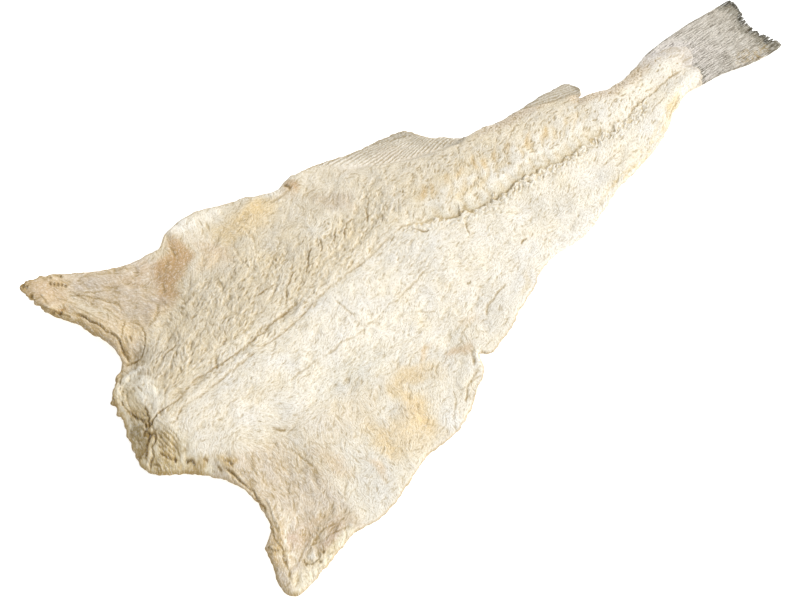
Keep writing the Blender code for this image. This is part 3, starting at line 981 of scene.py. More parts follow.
# Raised bands and lumps: the line, how high, half width.
ridges = [
    ([(-318, -6), (-290, -1), (-250, 2), (-215, 4), (-185, 7), (-150, 13), (-120, 15)], 1.0, 3.4),
    ([(-304, 51), (-319, 53), (-330, 52), (-337, 47), (-342, 38), (-343, 26), (-341, 13)], 2.3, 3.4),
    ([(-332, 38), (-335, 30), (-336, 20), (-334, 10)], -0.5, 2.6),
    ([(-345, 8), (-349, 0), (-351, -10)], 1.0, 3.5),
    ([(-336, -10), (-341, -14), (-347, -18), (-355, -23)], 1.3, 1.4),
    ([(-343, -26), (-347, -34)], 1.4, 3.0),
    ([(-318, -16), (-325, -30), (-330, -42)], 0.7, 6.0),
    ([(-332, 152), (-324, 138), (-318, 122), (-312, 106), (-306, 94)], 1.2, 5.0),
    ([(-330, 120), (-327, 112), (-322, 98), (-318, 84), (-319, 66)], 1.6, 2.2),
    ([(-303, 84), (-305, 74), (-306, 66)], 1.2, 4.0),
    ([(-294, -104), (-298, -122), (-301, -134), (-305, -148), (-310, -160), (-318, -172)], 1.5, 1.4),
    ([(-297, -170.5), (-291, -170.5)], 1.0, 4.5),
    ([(-316, -144), (-318, -149)], 1.8, 2.6),
    ([(-270, -152), (-284, -158), (-295, -162), (-304, -167), (-314, -173)], 0.7, 1.1),
    ([(-222, 147), (-200, 146), (-180, 144), (-166, 139)], 1.5, 5.0),
    ([(-82, -121), (-80, -112), (-77, -106)], 1.2, 3.2),
    ([(-110, -128), (-96, -119), (-84, -112)], 0.9, 4.0),
    ([(-322, 151), (-310, 144), (-294, 138), (-270, 134)], 0.5, 0.9),
    ([(-322, 149), (-306, 132), (-296, 118), (-292, 104)], 0.5, 0.9),
    ([(-312, 146), (-298, 122), (-290, 104)], 0.5, 0.9),
    ([(-125, 124), (-118, 124)], 1.0, 3.5),
]
for line, height, width in ridges:
    part, gap, _, taper = nearLine(line, 3.5 * width)
    relief[part] += taper * height * np.exp(-((gap / width) ** 2))

# Ledges: the line, how high the flesh stands on its right side, how sharply, how far it falls away, and how
# dark the painted shadow along the step is.
ledges = [
    # the edge left where the backbone was cut out
    (parting[(parting[:, 0] > -45) & (parting[:, 0] < 105)], 1.2, 0.4, 9.0, 0.7),
    (parting[parting[:, 0] > 90], 0.6, 0.5, 6.0, 0.4),
    # the fold of skin that the second fin stands behind
    ([(104, 62), (115, 58), (142, 48.5), (160, 43), (171, 38)], 0.9, 0.7, 4.0, 0.8),
]
for line, height, sharp, reach, brown in ledges:
    part, gap, side, taper = nearLine(line, 2.5 * reach, 0.0)
    past = gap * side  # positive on the upper side of the line
    rise = softStep(0.5 - past / (2.0 * sharp)) * np.exp(-np.clip(-past, 0, None) / reach)
    relief[part] += taper * height * rise
    shadow = np.exp(-(((past - 0.5) / 0.8) ** 2)) * uneven[part]
    shadeAndStain[part] = np.maximum(shadeAndStain[part], taper * brown * shadow)

# The seam between the two sides of flesh is a crease, fainter where the backbone was cut out.
part, gap, _, _ = nearLine(parting[::2], 6.0, 0.0)
frontShare = softStep((-35.0 - gx[part]) / 30.0)
seamShow = (0.2 + 0.35 * frontShare) * (0.3 + 0.7 * uneven[part])
valley = np.exp(-((gap / 0.9) ** 2))
relief[part] -= 1.3 * seamShow * valley
# painted shade in the bottom of the seam
shadeAndStain[part] = np.maximum(shadeAndStain[part], 0.75 * seamShow * valley)
print("folds drawn")

# Small pits, darkened with painted shade: place, half width, depth.
pits = [
    (-328, 165, 1.0, 1.4), (-325.5, 163, 1.0, 1.4), (-323, 161, 1.1, 1.5), (-320.5, 159, 1.0, 1.4),
    (-318.5, 157, 1.1, 1.4), (-325, 169, 1.0, 1.0), (-317, 166, 1.0, 1.0), (-344, 186, 1.2, 1.2),
    (-348, 163, 1.8, 1.6), (-348, 176, 1.6, 1.6), (-341, 138, 1.4, 1.4), (-338, 134, 1.6, 1.6),
    (-346, 173, 1.3, 1.3), (-348, 180, 1.2, 1.2), (-340, 183, 1.0, 1.0), (-336, 134, 1.2, 1.4),
    (-334, -35, 1.3, 1.6), (-327, -42, 1.2, 1.4), (-340, -2, 1.1, 1.2), (-302, -172, 1.0, 1.0),
    (-285, -172, 1.0, 1.2), (-292, -177, 1.0, 1.2),
]
for x, y, wide, depth in pits:
    dark = spot(x, y, wide, wide * 1.3, -30)
    relief -= depth * dark
    shadeAndStain = np.maximum(shadeAndStain, dark)

# Short cuts and strokes that follow the fibres: seed, spacing, where, length, width, depth, brown (how dark
# the painted shade in the cut is).
nicks = [
    (41, 6.5, zone["upperLoin"], (3.0, 8.0), (1.2, 2.0), 0.7, 0.55),
    (42, 9.0, zone["lowerLoin"], (3.0, 9.0), (1.2, 1.9), 0.4, 0.35),
    (43, 8.0, zone["flaps"] + zone["upperEar"] + zone["lowerEar"], (4.0, 14.0), (1.2, 1.9), 0.4, 0.35),
    (44, 5.5, zone["neck"], (3.0, 9.0), (1.0, 1.7), 0.5, 0.25),
]
for seed, spacing, where, long, wide, depth, brown in nicks:
    cut = lay(seed, spacing, where * (inward > 2.0), long, wide, 0.3, 0.05, 0.8)
    relief -= depth * cut
    shadeAndStain = np.maximum(shadeAndStain, brown * cut)

# The bed that the backbone left: a smooth hollow along the cut, then slanting segments above it.
bed = {"wide": 15.0, "deep": 0.8, "apart": 12.6, "slant": 0.9, "from": 12.0, "to": 36.0, "high": 0.22}
part, gap, side, _ = nearLine(parting[parting[:, 0] > -55][::2], 40.0, 0.0)
away = np.full(gx.shape, -9.0)  # how far above the cut, negative below it
away[part] = gap * side
rear = softStep((gx + 45.0) / 25.0) * softStep((185.0 - gx) / 60.0)
bedShare = rear * softStep(away / 1.5) * softStep((bed["wide"] - away) / 7.0)
relief *= 1.0 - 0.7 * bedShare
relief -= bed["deep"] * bedShare
phase = 2.0 * math.pi * (gx - bed["slant"] * away) / bed["apart"] + 0.8 * broadX + 0.5 * wanderX
segments = rear * softStep((away - bed["from"]) / 5.0) * softStep((bed["to"] - away) / 10.0)
segments *= 0.5 + 0.5 * softStep(0.5 + 0.5 * lumps(68, 4.0, 16.0))
relief += bed["high"] * segments * np.cos(phase)
relief += 0.6 * rear * np.exp(-(((away - 15.0 - 2.5 * broadY) / 4.5) ** 2))
stumps = np.cos(2.0 * math.pi * (gx + 3.0) / bed["apart"] + 0.5 * wanderX)
relief += 0.2 * bedShare * stumps
# Crumbs of flesh hang along the lower side of the cut.
belowCut = (gx > -50) * (gx < 210) * (away < 0.5)
crumbs = lay(69, 2.3, belowCut * (away > -8.0), (3.0, 7.0), (1.8, 3.2), 0.4, 0.05, 0.5, 0.3)
crumbGaps = belowCut * softStep((away + 8.0) / 5.0) * softStep((0.2 - crumbs) / 0.15)
relief += 1.5 * (crumbs - 0.3) * (crumbs > 0)

# Fin rays of the first fin, from their roots to the ragged edge.
firstFin = {
    "guides": [
        # the ray's number, its root and its tip
        (0, -72, 123, -26, 115), (4, -50, 109, 6, 103), (8, -36, 97, 24, 96), (11, -18, 88, 29, 91),
        (15, 3, 81, 38, 85), (18, 19, 75, 47, 78), (21, 38, 69, 52, 70),
    ],
    "high": 0.75,
    "halfWidth": 0.62,
    "apart": 1.2,  # from a ray to the dark web beside it
}
guides = np.array(firstFin["guides"], float)
rays = np.zeros(gx.shape)
webs = np.zeros(gx.shape)
for k in range(int(guides[-1, 0]) + 1):
    rootX, rootY, tipX, tipY = (np.interp(k, guides[:, 0], guides[:, n]) for n in (1, 2, 3, 4))
    middle = (rootX + tipX) / 2.0, (rootY + tipY) / 2.0 + 1.0
    part, gap, side, taper = nearLine([(rootX, rootY), middle, (tipX, tipY)], 4.0, 0.2)
    shown = softStep(taper * 4.0)
    rays[part] = np.maximum(rays[part], shown * np.exp(-((gap / firstFin["halfWidth"]) ** 2)))
    web = np.exp(-(((gap - firstFin["apart"]) / 0.5) ** 2)) * (side > 0)
    webs[part] = np.maximum(webs[part], shown * web)
webs *= 1.0 - rays
relief += firstFin["high"] * (rays - 0.8 * webs)
secondFin = {"slant": 0.26, "apart": 2.6, "high": 0.3}
secondRays = np.cos(2.0 * math.pi * (gy + secondFin["slant"] * gx + 0.5 * wanderY) / secondFin["apart"])
relief += zone["secondFin"] * secondFin["high"] * secondRays
print("flesh drawn")


def canvasOf(colour):
    return np.full(gx.shape + (3,), colour, float)


def wash(canvas, mask, colour, strength):
    share = np.clip(mask * strength, 0.0, 1.0)[..., None]
    canvas[:] = canvas * (1.0 - share) + np.array(colour, float) * share


def washSpots(rows, ragged, shown=1.0):
    for x, y, long, wide, turn, colour, strength in rows:
        wash(paint, spot(x, y, long, wide, turn, ragged) * shown, colour, strength)


# The colours, as the flesh shows them in white light, with painted shade and light worked in where marked.
paint = canvasOf((238, 228, 207))
beige = (222, 208, 182)
cream = (246, 239, 223)
pinkish = (216, 196, 168)
ochre = (226, 200, 152)
brown = (190, 150, 102)
white = (252, 248, 238)
olive = (172, 156, 116)
# the dark brown of the creases: painted shade, with some brown of their own
creaseShadeBrown = (122, 94, 46)
shade = (190, 174, 140)

# Partly painted shade and light, partly the flesh's own tone: the upper side, which faces away from the
# light, darker and greyer, the lower side lighter and the lower rear whiter still.
upperSide = softStep((gy - 0.02 * gx - 8.0) / 30.0)
wash(paint, upperSide, (230, 218, 194), 0.9)
wash(paint, 1.0 - upperSide, (241, 235, 221), 0.75)
wash(paint, softStep((-40 - gy) / 30.0) * softStep((gx + 60) / 60.0), (250, 246, 236), 0.6)
wash(paint, softStep((-230 - gx) / 90), beige, 0.5)
wash(paint, zone["upperEar"], pinkish, 0.85)
wash(paint, zone["lowerEar"], (214, 197, 174), 0.85)
wash(paint, zone["neck"], (247, 235, 204), 0.95)
# Partly painted shade on the front of the upper loin and painted light on the front of the lower loin, partly
# their own tone.
wash(paint, zone["upperLoin"] * softStep((-50 - gx) / 60), (222, 203, 165), 0.35)
wash(paint, zone["lowerLoin"] * softStep((-60 - gx) / 60) * (gy > -50), (252, 246, 232), 0.35)

# Stains and pale patches, with some painted highlights, light and shade among them as marked: place, half
# length, half width, turn, colour, strength.
patches = [
    (-240, 115, 34, 12, 42, (172, 132, 84), 0.85), (-222, 127, 12, 9, 35, brown, 0.65),
    (-160, 116, 30, 13, -6, (236, 208, 156), 0.85), (-145, 122, 22, 8, -14, ochre, 0.65),
    (-196, 108, 10, 16, 20, (216, 182, 140), 0.6), (-208, 105, 7, 10, 0, ochre, 0.55),
    # the two white ones here are painted highlights on the bulge along the upper flap and on the lump beside
    # it
    (-195, 143, 26, 7, -6, white, 0.8), (-120, 124, 8, 5, 0, white, 0.7),
    (-102, 68, 22, 11, 10, cream, 0.8), (-84, 84, 10, 22, 15, (206, 188, 166), 0.6),
    (-172, 98, 6, 16, -8, (232, 222, 200), 0.6), (-108, 120, 6, 7, 0, brown, 0.8),
    (-286, 118, 26, 24, 0, (206, 186, 160), 0.7), (-262, 132, 24, 6, -4, (206, 172, 130), 0.65),
    (-314, 124, 8, 24, 22, (220, 208, 184), 0.8), (-297, 86, 6, 10, 0, ochre, 0.6),
    (-285, 102, 9, 7, 0, olive, 0.3), (-339, 136, 8, 3, -55, (176, 124, 62), 0.9),
    (-262, 88, 14, 7, 30, (212, 186, 146), 0.5), (-240, 131, 6, 5, 0, white, 0.5),
    (-346, 170, 10, 12, 0, (204, 178, 142), 0.7), (-322, 100, 4, 26, 20, (206, 190, 164), 0.5),
    (-322, 162, 8, 4, -35, (206, 172, 116), 0.6),
    # the white ones on the neck's roll, plateau and ridges are their pale cream brightened with painted light
    (-315, 52, 16, 6, -6, white, 0.9), (-331, 48, 10, 6, 50, white, 0.9),
    (-342, 28, 3, 18, 0, white, 0.85), (-348, -20, 7, 1.6, 35, white, 0.7),
    (-321, 26, 10, 26, 0, (255, 249, 232), 0.9), (-343, 180, 12, 12, 0, (196, 160, 104), 0.65),
    # the first one is painted shade along the outer side of the upper ear's rolled rim
    (-321, 98, 38, 5, -74, (166, 138, 92), 0.8), (-335, 160, 14, 12, 0, (210, 182, 142), 0.6),
    (-203, 105, 16, 10, 20, (240, 218, 184), 0.7),
    (-170, 89, 22, 12, 20, (250, 236, 208), 0.8), (-131, -139, 26, 8, 40, white, 0.8),
    (-244, -31, 18, 12, 0, (228, 216, 192), 0.6), (8, 30, 12, 8, 0, (244, 230, 200), 0.5),
    (-300, 147, 14, 9, -30, (202, 190, 180), 0.6), (-300, -146, 12, 8, 20, (206, 172, 146), 0.5),
    (-235, -112, 9, 20, 10, (216, 184, 140), 0.55), (-284, -150, 14, 7, 15, (206, 176, 138), 0.6),
    (-258, -98, 8, 22, 5, (206, 190, 164), 0.75), (-269, -164, 14, 5, 0, (200, 172, 150), 0.7),
    (-294, -171, 9, 6, 0, (255, 252, 244), 0.95), (-318, -146, 5, 6, 0, (186, 156, 112), 0.7),
    (-186, -122, 8, 22, 0, (246, 214, 158), 0.65), (-160, -130, 26, 22, 20, (248, 220, 170), 0.7),
    (-150, -118, 9, 30, 5, (248, 214, 154), 0.55), (-132, -93, 24, 9, -12, (230, 198, 142), 0.65),
    (-156, -92, 10, 8, 0, (222, 196, 146), 0.5), (-208, -136, 5, 12, 0, (226, 190, 142), 0.5),
    (-84, -98, 10, 5, 0, brown, 0.45), (-112, -83, 9, 3, 20, (214, 178, 128), 0.6),
    (-120, -135, 30, 9, 30, cream, 0.5), (-175, -66, 40, 16, 0, (228, 224, 208), 0.5),
    (-324, -46, 7, 4, 0, (186, 152, 88), 0.8), (-316, -53, 5, 4, 0, (190, 156, 92), 0.8),
    (-302, -64, 7, 4, -40, (194, 160, 96), 0.8), (-297, -70, 4, 3, 0, (176, 138, 74), 0.8),
    (-333, -39, 4, 3, 0, (190, 156, 92), 0.7), (-235, 10, 20, 7, 0, (246, 240, 226), 0.5),
    (-176, 35, 18, 10, 20, (240, 232, 214), 0.5), (-46, 106, 16, 9, 0, (238, 228, 214), 0.6),
    # the second one is painted shadow beside the lower ear's pale ridge
    (-60, -80, 12, 6, -20, (226, 206, 176), 0.5), (-310, -148, 3, 22, -22, (200, 168, 112), 0.8),
    (-305, -147, 1.6, 28, -20, (248, 240, 222), 0.85),
    (-306, -182, 20, 6, 15, (238, 220, 172), 0.7), (220, -30, 18, 3, 20, (230, 208, 160), 0.6),
    (0, -84, 14, 4, 25, (232, 208, 160), 0.5), (140, 17, 12, 4, 0, ochre, 0.4),
    (90, 19, 8, 4, 0, ochre, 0.4), (-10, 37, 34, 9, 0, (224, 206, 168), 0.4),
    (40, 33, 40, 8, -5, (232, 214, 176), 0.4), (30, 24, 46, 3, -5, white, 0.6),
    (-75, 45, 26, 16, 0, (230, 216, 184), 0.3),
    (72, -42, 40, 9, 4, (228, 222, 208), 0.4), (-25, -28, 16, 8, 0, (228, 222, 208), 0.4),
]
washSpots(patches, 2.6)

# Stains with an edge: corners, softness, colour, strength.
tints = [
    ([(-347, 12), (-344, 12), (-338, 4), (-337, -4), (-340, -9), (-346, -12), (-352, -16), (-358, -14),
      (-357, -2), (-350, 9)],
     0.8, (152, 130, 82), 0.9),
    ([(-346, -24), (-339, -28), (-336, -36), (-342, -42), (-352, -38), (-352, -29)],
     1.2, (160, 136, 82), 0.7),
    ([(-326, 45), (-332, 45), (-336, 40), (-338, 28), (-338, 12), (-334, 4), (-330, 14), (-329, 32)],
     1.2, (246, 222, 172), 0.6),
    ([(-338, -14), (-326, -8), (-318, -24), (-314, -38), (-324, -40), (-334, -30)],
     3.0, (204, 186, 142), 0.55),
    ([(-300, 150), (-262, 158), (-246, 140), (-262, 96), (-284, 86), (-296, 112)],
     3.0, (202, 186, 166), 0.45),
    ([(-262, -66), (-176, -72), (-150, -84), (-190, -104), (-238, -110), (-262, -96)],
     7.0, (222, 208, 184), 0.6),
    ([(-325, -192), (-296, -188), (-250, -174), (-256, -166), (-300, -177), (-318, -180)],
     1.5, (252, 242, 214), 0.85),
]
for corners, soft, colour, strength in tints:
    wash(paint, area(corners, soft), colour, strength)
wash(paint, bedShare, (230, 222, 202), 0.55)
# painted shade: a grey-olive band just above the cut, fading upwards, where the step leaves the flesh in
# shadow
wash(paint, rear * np.exp(-np.clip(away, 0.0, None) / 4.0) * (away > 0), (176, 162, 126), 0.5)
wash(paint, segments * softStep(-1.3 * np.cos(phase)), (222, 194, 146), 0.45)
wash(paint, segments * softStep(1.3 * np.cos(phase)), (246, 238, 220), 0.3)
wash(paint, rear * np.exp(-(((away - 15.0 - 2.5 * broadY) / 4.0) ** 2)), (250, 244, 230), 0.55)
wash(paint, bedShare * softStep(-stumps), (226, 204, 164), 0.3)
ochreMarks = [
    (-18, 39), (-10, 36), (8, 37), (20, 34), (36, 35), (44, 29), (60, 31), (75, 28), (94, 24), (112, 22),
]
for x, y in ochreMarks:  # slanting, above the backbone's bed
    wash(paint, spot(x, y, 8.5, 2.6, 52, 1.2), (216, 180, 120), 0.6)
for x, y in [(2, 14), (14, 16), (30, 16), (54, 16)]:  # and fainter ones in it
    wash(paint, spot(x, y, 7, 5, 0, 1.2), (230, 206, 160), 0.45)
goldRim = softStep((12.0 - inward) / 8.0) * softStep((gx - 90) / 40.0) * softStep((250 - gx) / 20.0)
goldRim *= gy < 0
wash(paint, goldRim * softStep(0.4 + 0.5 * grainFields["thread"]), (232, 208, 158), 0.6)

# Grey dots in patches, and a brown band of scaly flesh along the upper edge towards the tail.
dots = softStep((lumps(91, 0.45, 1.1) - 0.35) / 1.2)
dotted = softStep(0.35 + 0.5 * lumps(92, 7.0, 26.0)) * fleshy
dotted = np.clip(dotted * 0.6 + spot(72, -40, 42, 11, 4, 2.0) + spot(-25, -28, 18, 9, 0, 2.0), 0.0, 1.0)
wash(paint, dots * dotted, (158, 146, 122), 0.34)
scaly = softStep((gx - 45.0) / 40.0) * softStep((256.0 - gx) / 14.0) * softStep((17.0 - inward) / 9.0)
scaly *= gy > 12
wash(paint, scaly, (222, 205, 182), 0.7)
wash(paint, scaly * dots, (136, 108, 70), 0.85)

# Grey where the fins and the skin show at the upper edge.
wash(paint, zone["firstFin"] * softStep((gx + 90) / 60), (222, 212, 196), 0.8)
greyEdge = softStep((14.0 - inward) / 7.0) * softStep((gx + 68) / 40)
wash(paint, zone["firstFin"] * greyEdge, (172, 163, 144), 0.65)
wash(paint, zone["firstFin"] * greyEdge * dots, (96, 88, 70), 0.6)
wash(paint, webs, (108, 90, 62), 0.9)
wash(paint, rays * (0.5 + 0.5 * (1 - greyEdge)), (250, 242, 228), 0.85)
wash(paint, zone["secondFin"], (160, 150, 132), 0.95)
wash(paint, zone["secondFin"] * (0.5 + 0.5 * secondRays), (214, 208, 194), 0.7)
wash(paint, zone["secondFin"] * softStep((gx - 167.0) / 6.0), (84, 74, 54), 0.75)
wash(paint, zone["secondFin"] * softStep((2.0 - inward) / 1.5), (120, 110, 90), 0.5)
wash(paint, spot(276, 16, 14, 12, 0, 1.5), (232, 226, 220), 0.6)
skinStrip = area([(50, 62), (105, 54), (150, 39), (185, 27), (240, 28), (262, 34), (262, 60), (50, 90)], 1.0)
stripWide = 2.2 + 1.2 * softStep((gx - 180.0) / 50.0) + 0.8 * wanderX
wash(paint, skinStrip * softStep((stripWide - inward) / 2.0), (166, 154, 136), 0.8)
wash(paint, spot(266, -12, 12, 8, 0, 1.0), (246, 242, 232), 0.8)

# The flesh thins out over the root of the tail and its grey shows through in specks.
part, gap, _, _ = nearLine(cuts["endBelow"] + cuts["endAbove"][1:], 30.0, 0.3)
endGap = np.full(gx.shape, 99.0)
endGap[part] = gap
specks = 0.5 + 0.5 * lumps(93, 0.6, 1.6) + 0.35 * lumps(94, 2.0, 6.0)
fadeOver = 6.0 + 14.0 * softStep((gy + 2.0) / 8.0)
showing = softStep((fadeOver - endGap) / fadeOver)
wash(paint, showing, (224, 216, 208), 0.9)
wash(paint, softStep(1.7 * showing - 1.0 + 0.7 * specks), (204, 195, 184), 0.85)

# Patchy tone, then brownish painted shade in the hollows and painted highlights on the crests.
tone = 0.5 * lumps(51, 3.0, 12.0) + 0.5 * lumps(52, 10.0, 40.0)
paint *= (1.0 + 0.017 * tone * fleshy)[..., None]
warm = lumps(53, 5.0, 25.0)[..., None]
paint += warm * np.array((1.0, 0.0, -2.2)) * fleshy[..., None]
narrow = blurred(relief, 0.9) - relief
wide = blurred(relief, 2.4) - relief
wash(paint, narrow / 0.32, shade, 0.42)
wash(paint, wide / 1.1, (186, 160, 112), 0.32)
wash(paint, -narrow / 0.35, (253, 249, 239), 0.42)
wash(paint, -wide / 1.2 * fleshy, (252, 247, 236), 0.22)
ends = np.clip(zone["neck"] + 0.65 * (zone["upperEar"] + zone["lowerEar"]), 0.0, 1.0)
# Painted shade in and around the creases: warm and golden round them, dark brown in their bottoms, strongest
# at the neck and ears; partly the creases' own brown.
wash(paint, blurred(shadeAndStain, 1.5) * 0.5, (206, 172, 108), 0.9)
wash(paint, blurred(shadeAndStain, 1.9) * 2.2 * ends, (200, 160, 82), 0.85)
wash(paint, shadeAndStain, creaseShadeBrown, 0.82)
wash(paint, shadeAndStain * ends, (92, 66, 12), 0.75)
# painted shade in the gaps between the crumbs
wash(paint, crumbGaps, (196, 168, 112), 0.5)
# Along the rim, where the edge rounds down: brownish towards the front and darkest at the neck end, which
# faces away from the light, paler beige on the lower rear; painted shade with some brown of the rim's own.
rimShadeAndBrown = softStep((1.6 - inward) / 1.4)
wash(paint, rimShadeAndBrown * softStep((60 - gx) / 60), (168, 138, 90), 0.5)
wash(paint, softStep((3.6 - inward) / 3.0) * ends * softStep((-316 - gx) / 8), (146, 116, 54), 0.6)
wash(paint, rimShadeAndBrown * softStep((gx - 40) / 60) * (gy < 0), (214, 200, 174), 0.6)
# painted highlights on the raised threads, weaker on the upper side
wash(paint, threadRidge * (1.0 - upperSide * 0.5) * (1.0 - zone["firstFin"]), (253, 249, 241), 0.3)

# Last touches, kept off the creases, pale ones among them painting light onto the neck's roll and plateau
# where the surface leaves them in shade: place, half length, half width, turn, colour, strength.
touches = [
    (-324, 48, 11, 5, 8, (255, 247, 226), 0.8), (-333, 30, 5, 13, 0, (255, 242, 212), 0.6),
    (-319, 18, 9, 15, 0, (253, 244, 222), 0.3), (-319, -39, 9, 9, 0, (252, 243, 222), 0.4),
    (-334, 160, 13, 11, 0, (190, 164, 136), 0.35), (-317, 85, 6, 12, -10, (164, 144, 114), 0.6),
    (-133, -140, 12, 10, 0, (255, 252, 244), 0.5), (-10, 96, 14, 6, -32, (196, 182, 162), 0.3),
    (-46, 108, 15, 6, -28, (255, 248, 234), 0.5), (8, 32, 16, 8, 0, (255, 244, 222), 0.35),
    (68, -8, 16, 5, 0, (255, 246, 228), 0.35), (-308, -180, 16, 5, 12, (255, 246, 230), 0.4),
]
washSpots(touches, 1.5, 1.0 - 0.8 * shadeAndStain)
print("flesh coloured")

# The tail fin has a sheet of its own: grey, with pale and dark streaks along its rays.
tailFin = {
    "top": [(240, 33), (268, 37), (300, 37), (330, 34), (352, 32)],
    "low": [(240, -20), (264, -21), (291, -24), (314, -31), (338, -36), (357, -37)],
    "rays": 27,
    "rayHeight": 0.34,
    "thick": 1.3,
    "rimThick": 0.5,
    "roundOver": 1.6,
}


def tableAt(table, x):
    rows = np.array(table, float)
    return np.interp(x, rows[:, 0], rows[:, 1])


finShare = (gy - tableAt(tailFin["low"], gx)) / (tableAt(tailFin["top"], gx) - tableAt(tailFin["low"], gx))
finShare = finShare + 0.006 * wanderY
finWave = np.cos(2.0 * math.pi * tailFin["rays"] * finShare)
finFork = np.cos(4.0 * math.pi * tailFin["rays"] * finShare + 0.8)
fork = softStep((gx - 305.0) / 25.0)
rayed = softStep((gx - 268.0) / 22.0)  # the root is plain, the rays come out of it
finLines = rayed * (finWave * (1.0 - 0.6 * fork) + 0.8 * finFork * fork)
onFin = (gx > 236).astype(float) * (finInward > -1.5)
streaks = lay(71, 2.0, onFin, (8.0, 34.0), (0.7, 1.2), 0.04, 0.003, 0.6)
darkStreaks = lay(72, 2.1, onFin, (6.0, 28.0), (0.7, 1.2), 0.04, 0.003, 0.6)
flecks = lay(73, 4.0, onFin, (1.6, 4.5), (1.2, 2.0), 0.4, 0.0, 0.6)
finRelief = tailFin["rayHeight"] * 0.6 * finLines + 0.4 * streaks - 0.4 * darkStreaks
finRelief += 0.12 * lumps(74, 0.7, 2.5)
finPaint = canvasOf((222, 214, 202))
wash(finPaint, spot(282, 2, 24, 26, 0, 1.5), (218, 209, 201), 0.7)
wash(finPaint, softStep((gx - 300) / 45), (180, 170, 150), 0.5)
wash(finPaint, 0.5 * lumps(76, 4.0, 14.0), (192, 184, 172), 0.6)
wash(finPaint, np.clip(finLines, 0, 1), (232, 227, 214), 0.4)
wash(finPaint, np.clip(-finLines, 0, 1) * softStep(0.7 + 0.5 * lumps(77, 2.5, 9.0)), (112, 102, 84), 0.5)
wash(finPaint, streaks, (252, 248, 240), 0.95)
wash(finPaint, 1.7 * darkStreaks * (0.4 + 0.6 * rayed), (70, 60, 40), 0.9)
wash(finPaint, flecks, (238, 230, 214), 0.6)
ochreSpecks = spot(334, -28, 20, 7, -8, 2.0) * softStep(0.4 + 0.9 * lumps(78, 0.7, 2.4))
wash(finPaint, ochreSpecks, (176, 146, 92), 0.7)
# The end of the fin darker and its torn edge darkest: the fin's own dark grey, with painted shade along the
# edge.
fringe = softStep((gx - 337 - 3.0 * wanderX - 1.5 * broadX) / 9) * (0.45 + darkStreaks)
wash(finPaint, fringe, (84, 78, 58), 0.85)
tornEdge = softStep((4.6 + 1.5 * wanderX - finInward) / 2.6) * softStep((gx - 335) / 6)
tornEdge *= 0.3 + 0.7 * softStep((gy + 34) / 8)
wash(finPaint, tornEdge, (50, 46, 30), 0.9)
nearRoot = softStep((14.0 - endGap) / 14.0) * softStep((gy + 6.0) / 8.0)
rootSpecks = softStep(1.5 * nearRoot - 0.9 + 0.7 * specks)
wash(finPaint, softStep((16.0 - endGap) / 16.0) * (gy > 0), (228, 220, 210), 0.5)
wash(finPaint, rootSpecks, (232, 224, 216), 0.85)
wash(finPaint, softStep((2.2 - finInward) / 1.6) * (gx < 330), (122, 112, 94), 0.65)
print("tail fin coloured")


hidden = {"flesh": 0.6, "skin": 0.9, "fin": 0.5}  # how far the faces nobody sees lie above the underside
tailRoot = {"from": 225.0, "reach": 30.0, "over": 22.0, "thicker": 0.4, "roundOver": 15.0}


def roundedTop(gap, high, low, reach):
    rise = np.sqrt(1.0 - (1.0 - np.clip(gap / reach, 0.0, 1.0)) ** 2)
    return low + (np.maximum(high, low) - low) * rise


def fleshTop(x, y):
    low = readAt(lowPlain, x, y)
    gap = np.clip(readAt(inward, x, y), 0.0, None)
    full = np.maximum(readAt(topPlain, x, y), low + edge["fleshThick"])
    high = full + readAt(relief, x, y) * (0.25 + 0.75 * softStep(gap / 2.0))
    web = np.clip(readAt(zone["firstFin"] + zone["secondFin"], x, y), 0.0, 1.0)
    thin = low + edge["fleshThick"] + readAt(relief, x, y)
    high = high * (1.0 - web) + np.minimum(high, thin) * web
    nearEnd = softStep((tailRoot["reach"] - readAt(endGap, x, y)) / tailRoot["over"]) * (x > tailRoot["from"])
    rimTop = low + edge["rimThick"] + tailRoot["thicker"] * nearEnd
    return roundedTop(gap, high, rimTop, edge["roundOver"] + tailRoot["roundOver"] * nearEnd)


def fleshUnder(x, y):
    return readAt(lowPlain, x, y) + hidden["flesh"]


def finTop(x, y):
    low = readAt(lowPlain, x, y)
    gap = np.clip(readAt(finInward, x, y), 0.0, None)
    high = low + tailFin["thick"] + readAt(finRelief, x, y)
    return roundedTop(gap, high, low + tailFin["rimThick"], tailFin["roundOver"])


def finUnder(x, y):
    tucked = softStep(readAt(inward, x, y) / 2.0)  # where the flesh lies over it
    return readAt(lowPlain, x, y) + hidden["fin"] * tucked


def skinUpper(x, y):
    return readAt(lowPlain, x, y) + hidden["skin"]


# The underside has its skin on: olive grey along the back, pale towards the belly's edges.
paintUnder = canvasOf((214, 204, 180))
under = {
    "back": [(-352, 10), (-260, 30), (-160, 48), (-60, 62), (40, 50), (140, 34), (250, 12)],
    "backWide": 46.0,
    "sideLines": [
        [(-330, -18), (-240, -14), (-140, -4), (-40, 10), (60, 14), (160, 10), (258, 4)],
        [(-330, 44), (-260, 66), (-180, 84), (-110, 96)],
    ],
    "sideHalfWidth": 1.8,
    "folds": 0.45,  # how high they stand, like the four below
    "pebbles": 0.22,
    "sides": 0.3,
    "finRays": 0.35,
    "highest": 0.8,
}
skinFolds = lay(82, 3.6, np.ones(gx.shape), (10.0, 40.0), (2.0, 4.0), 0.2, 0.01, 0.7)
skinPebbles = lay(83, 2.6, np.ones(gx.shape), (2.2, 3.6), (2.0, 3.0), 1.5, 0.0, 0.7)
wrinkles = under["folds"] * skinFolds + under["pebbles"] * skinPebbles
part, gap, _, _ = nearLine(under["back"], 120.0, 4.0)
backShade = np.zeros(gx.shape)
backShade[part] = np.exp(-((gap / under["backWide"]) ** 2))
wash(paintUnder, backShade, (128, 120, 98), 0.85)
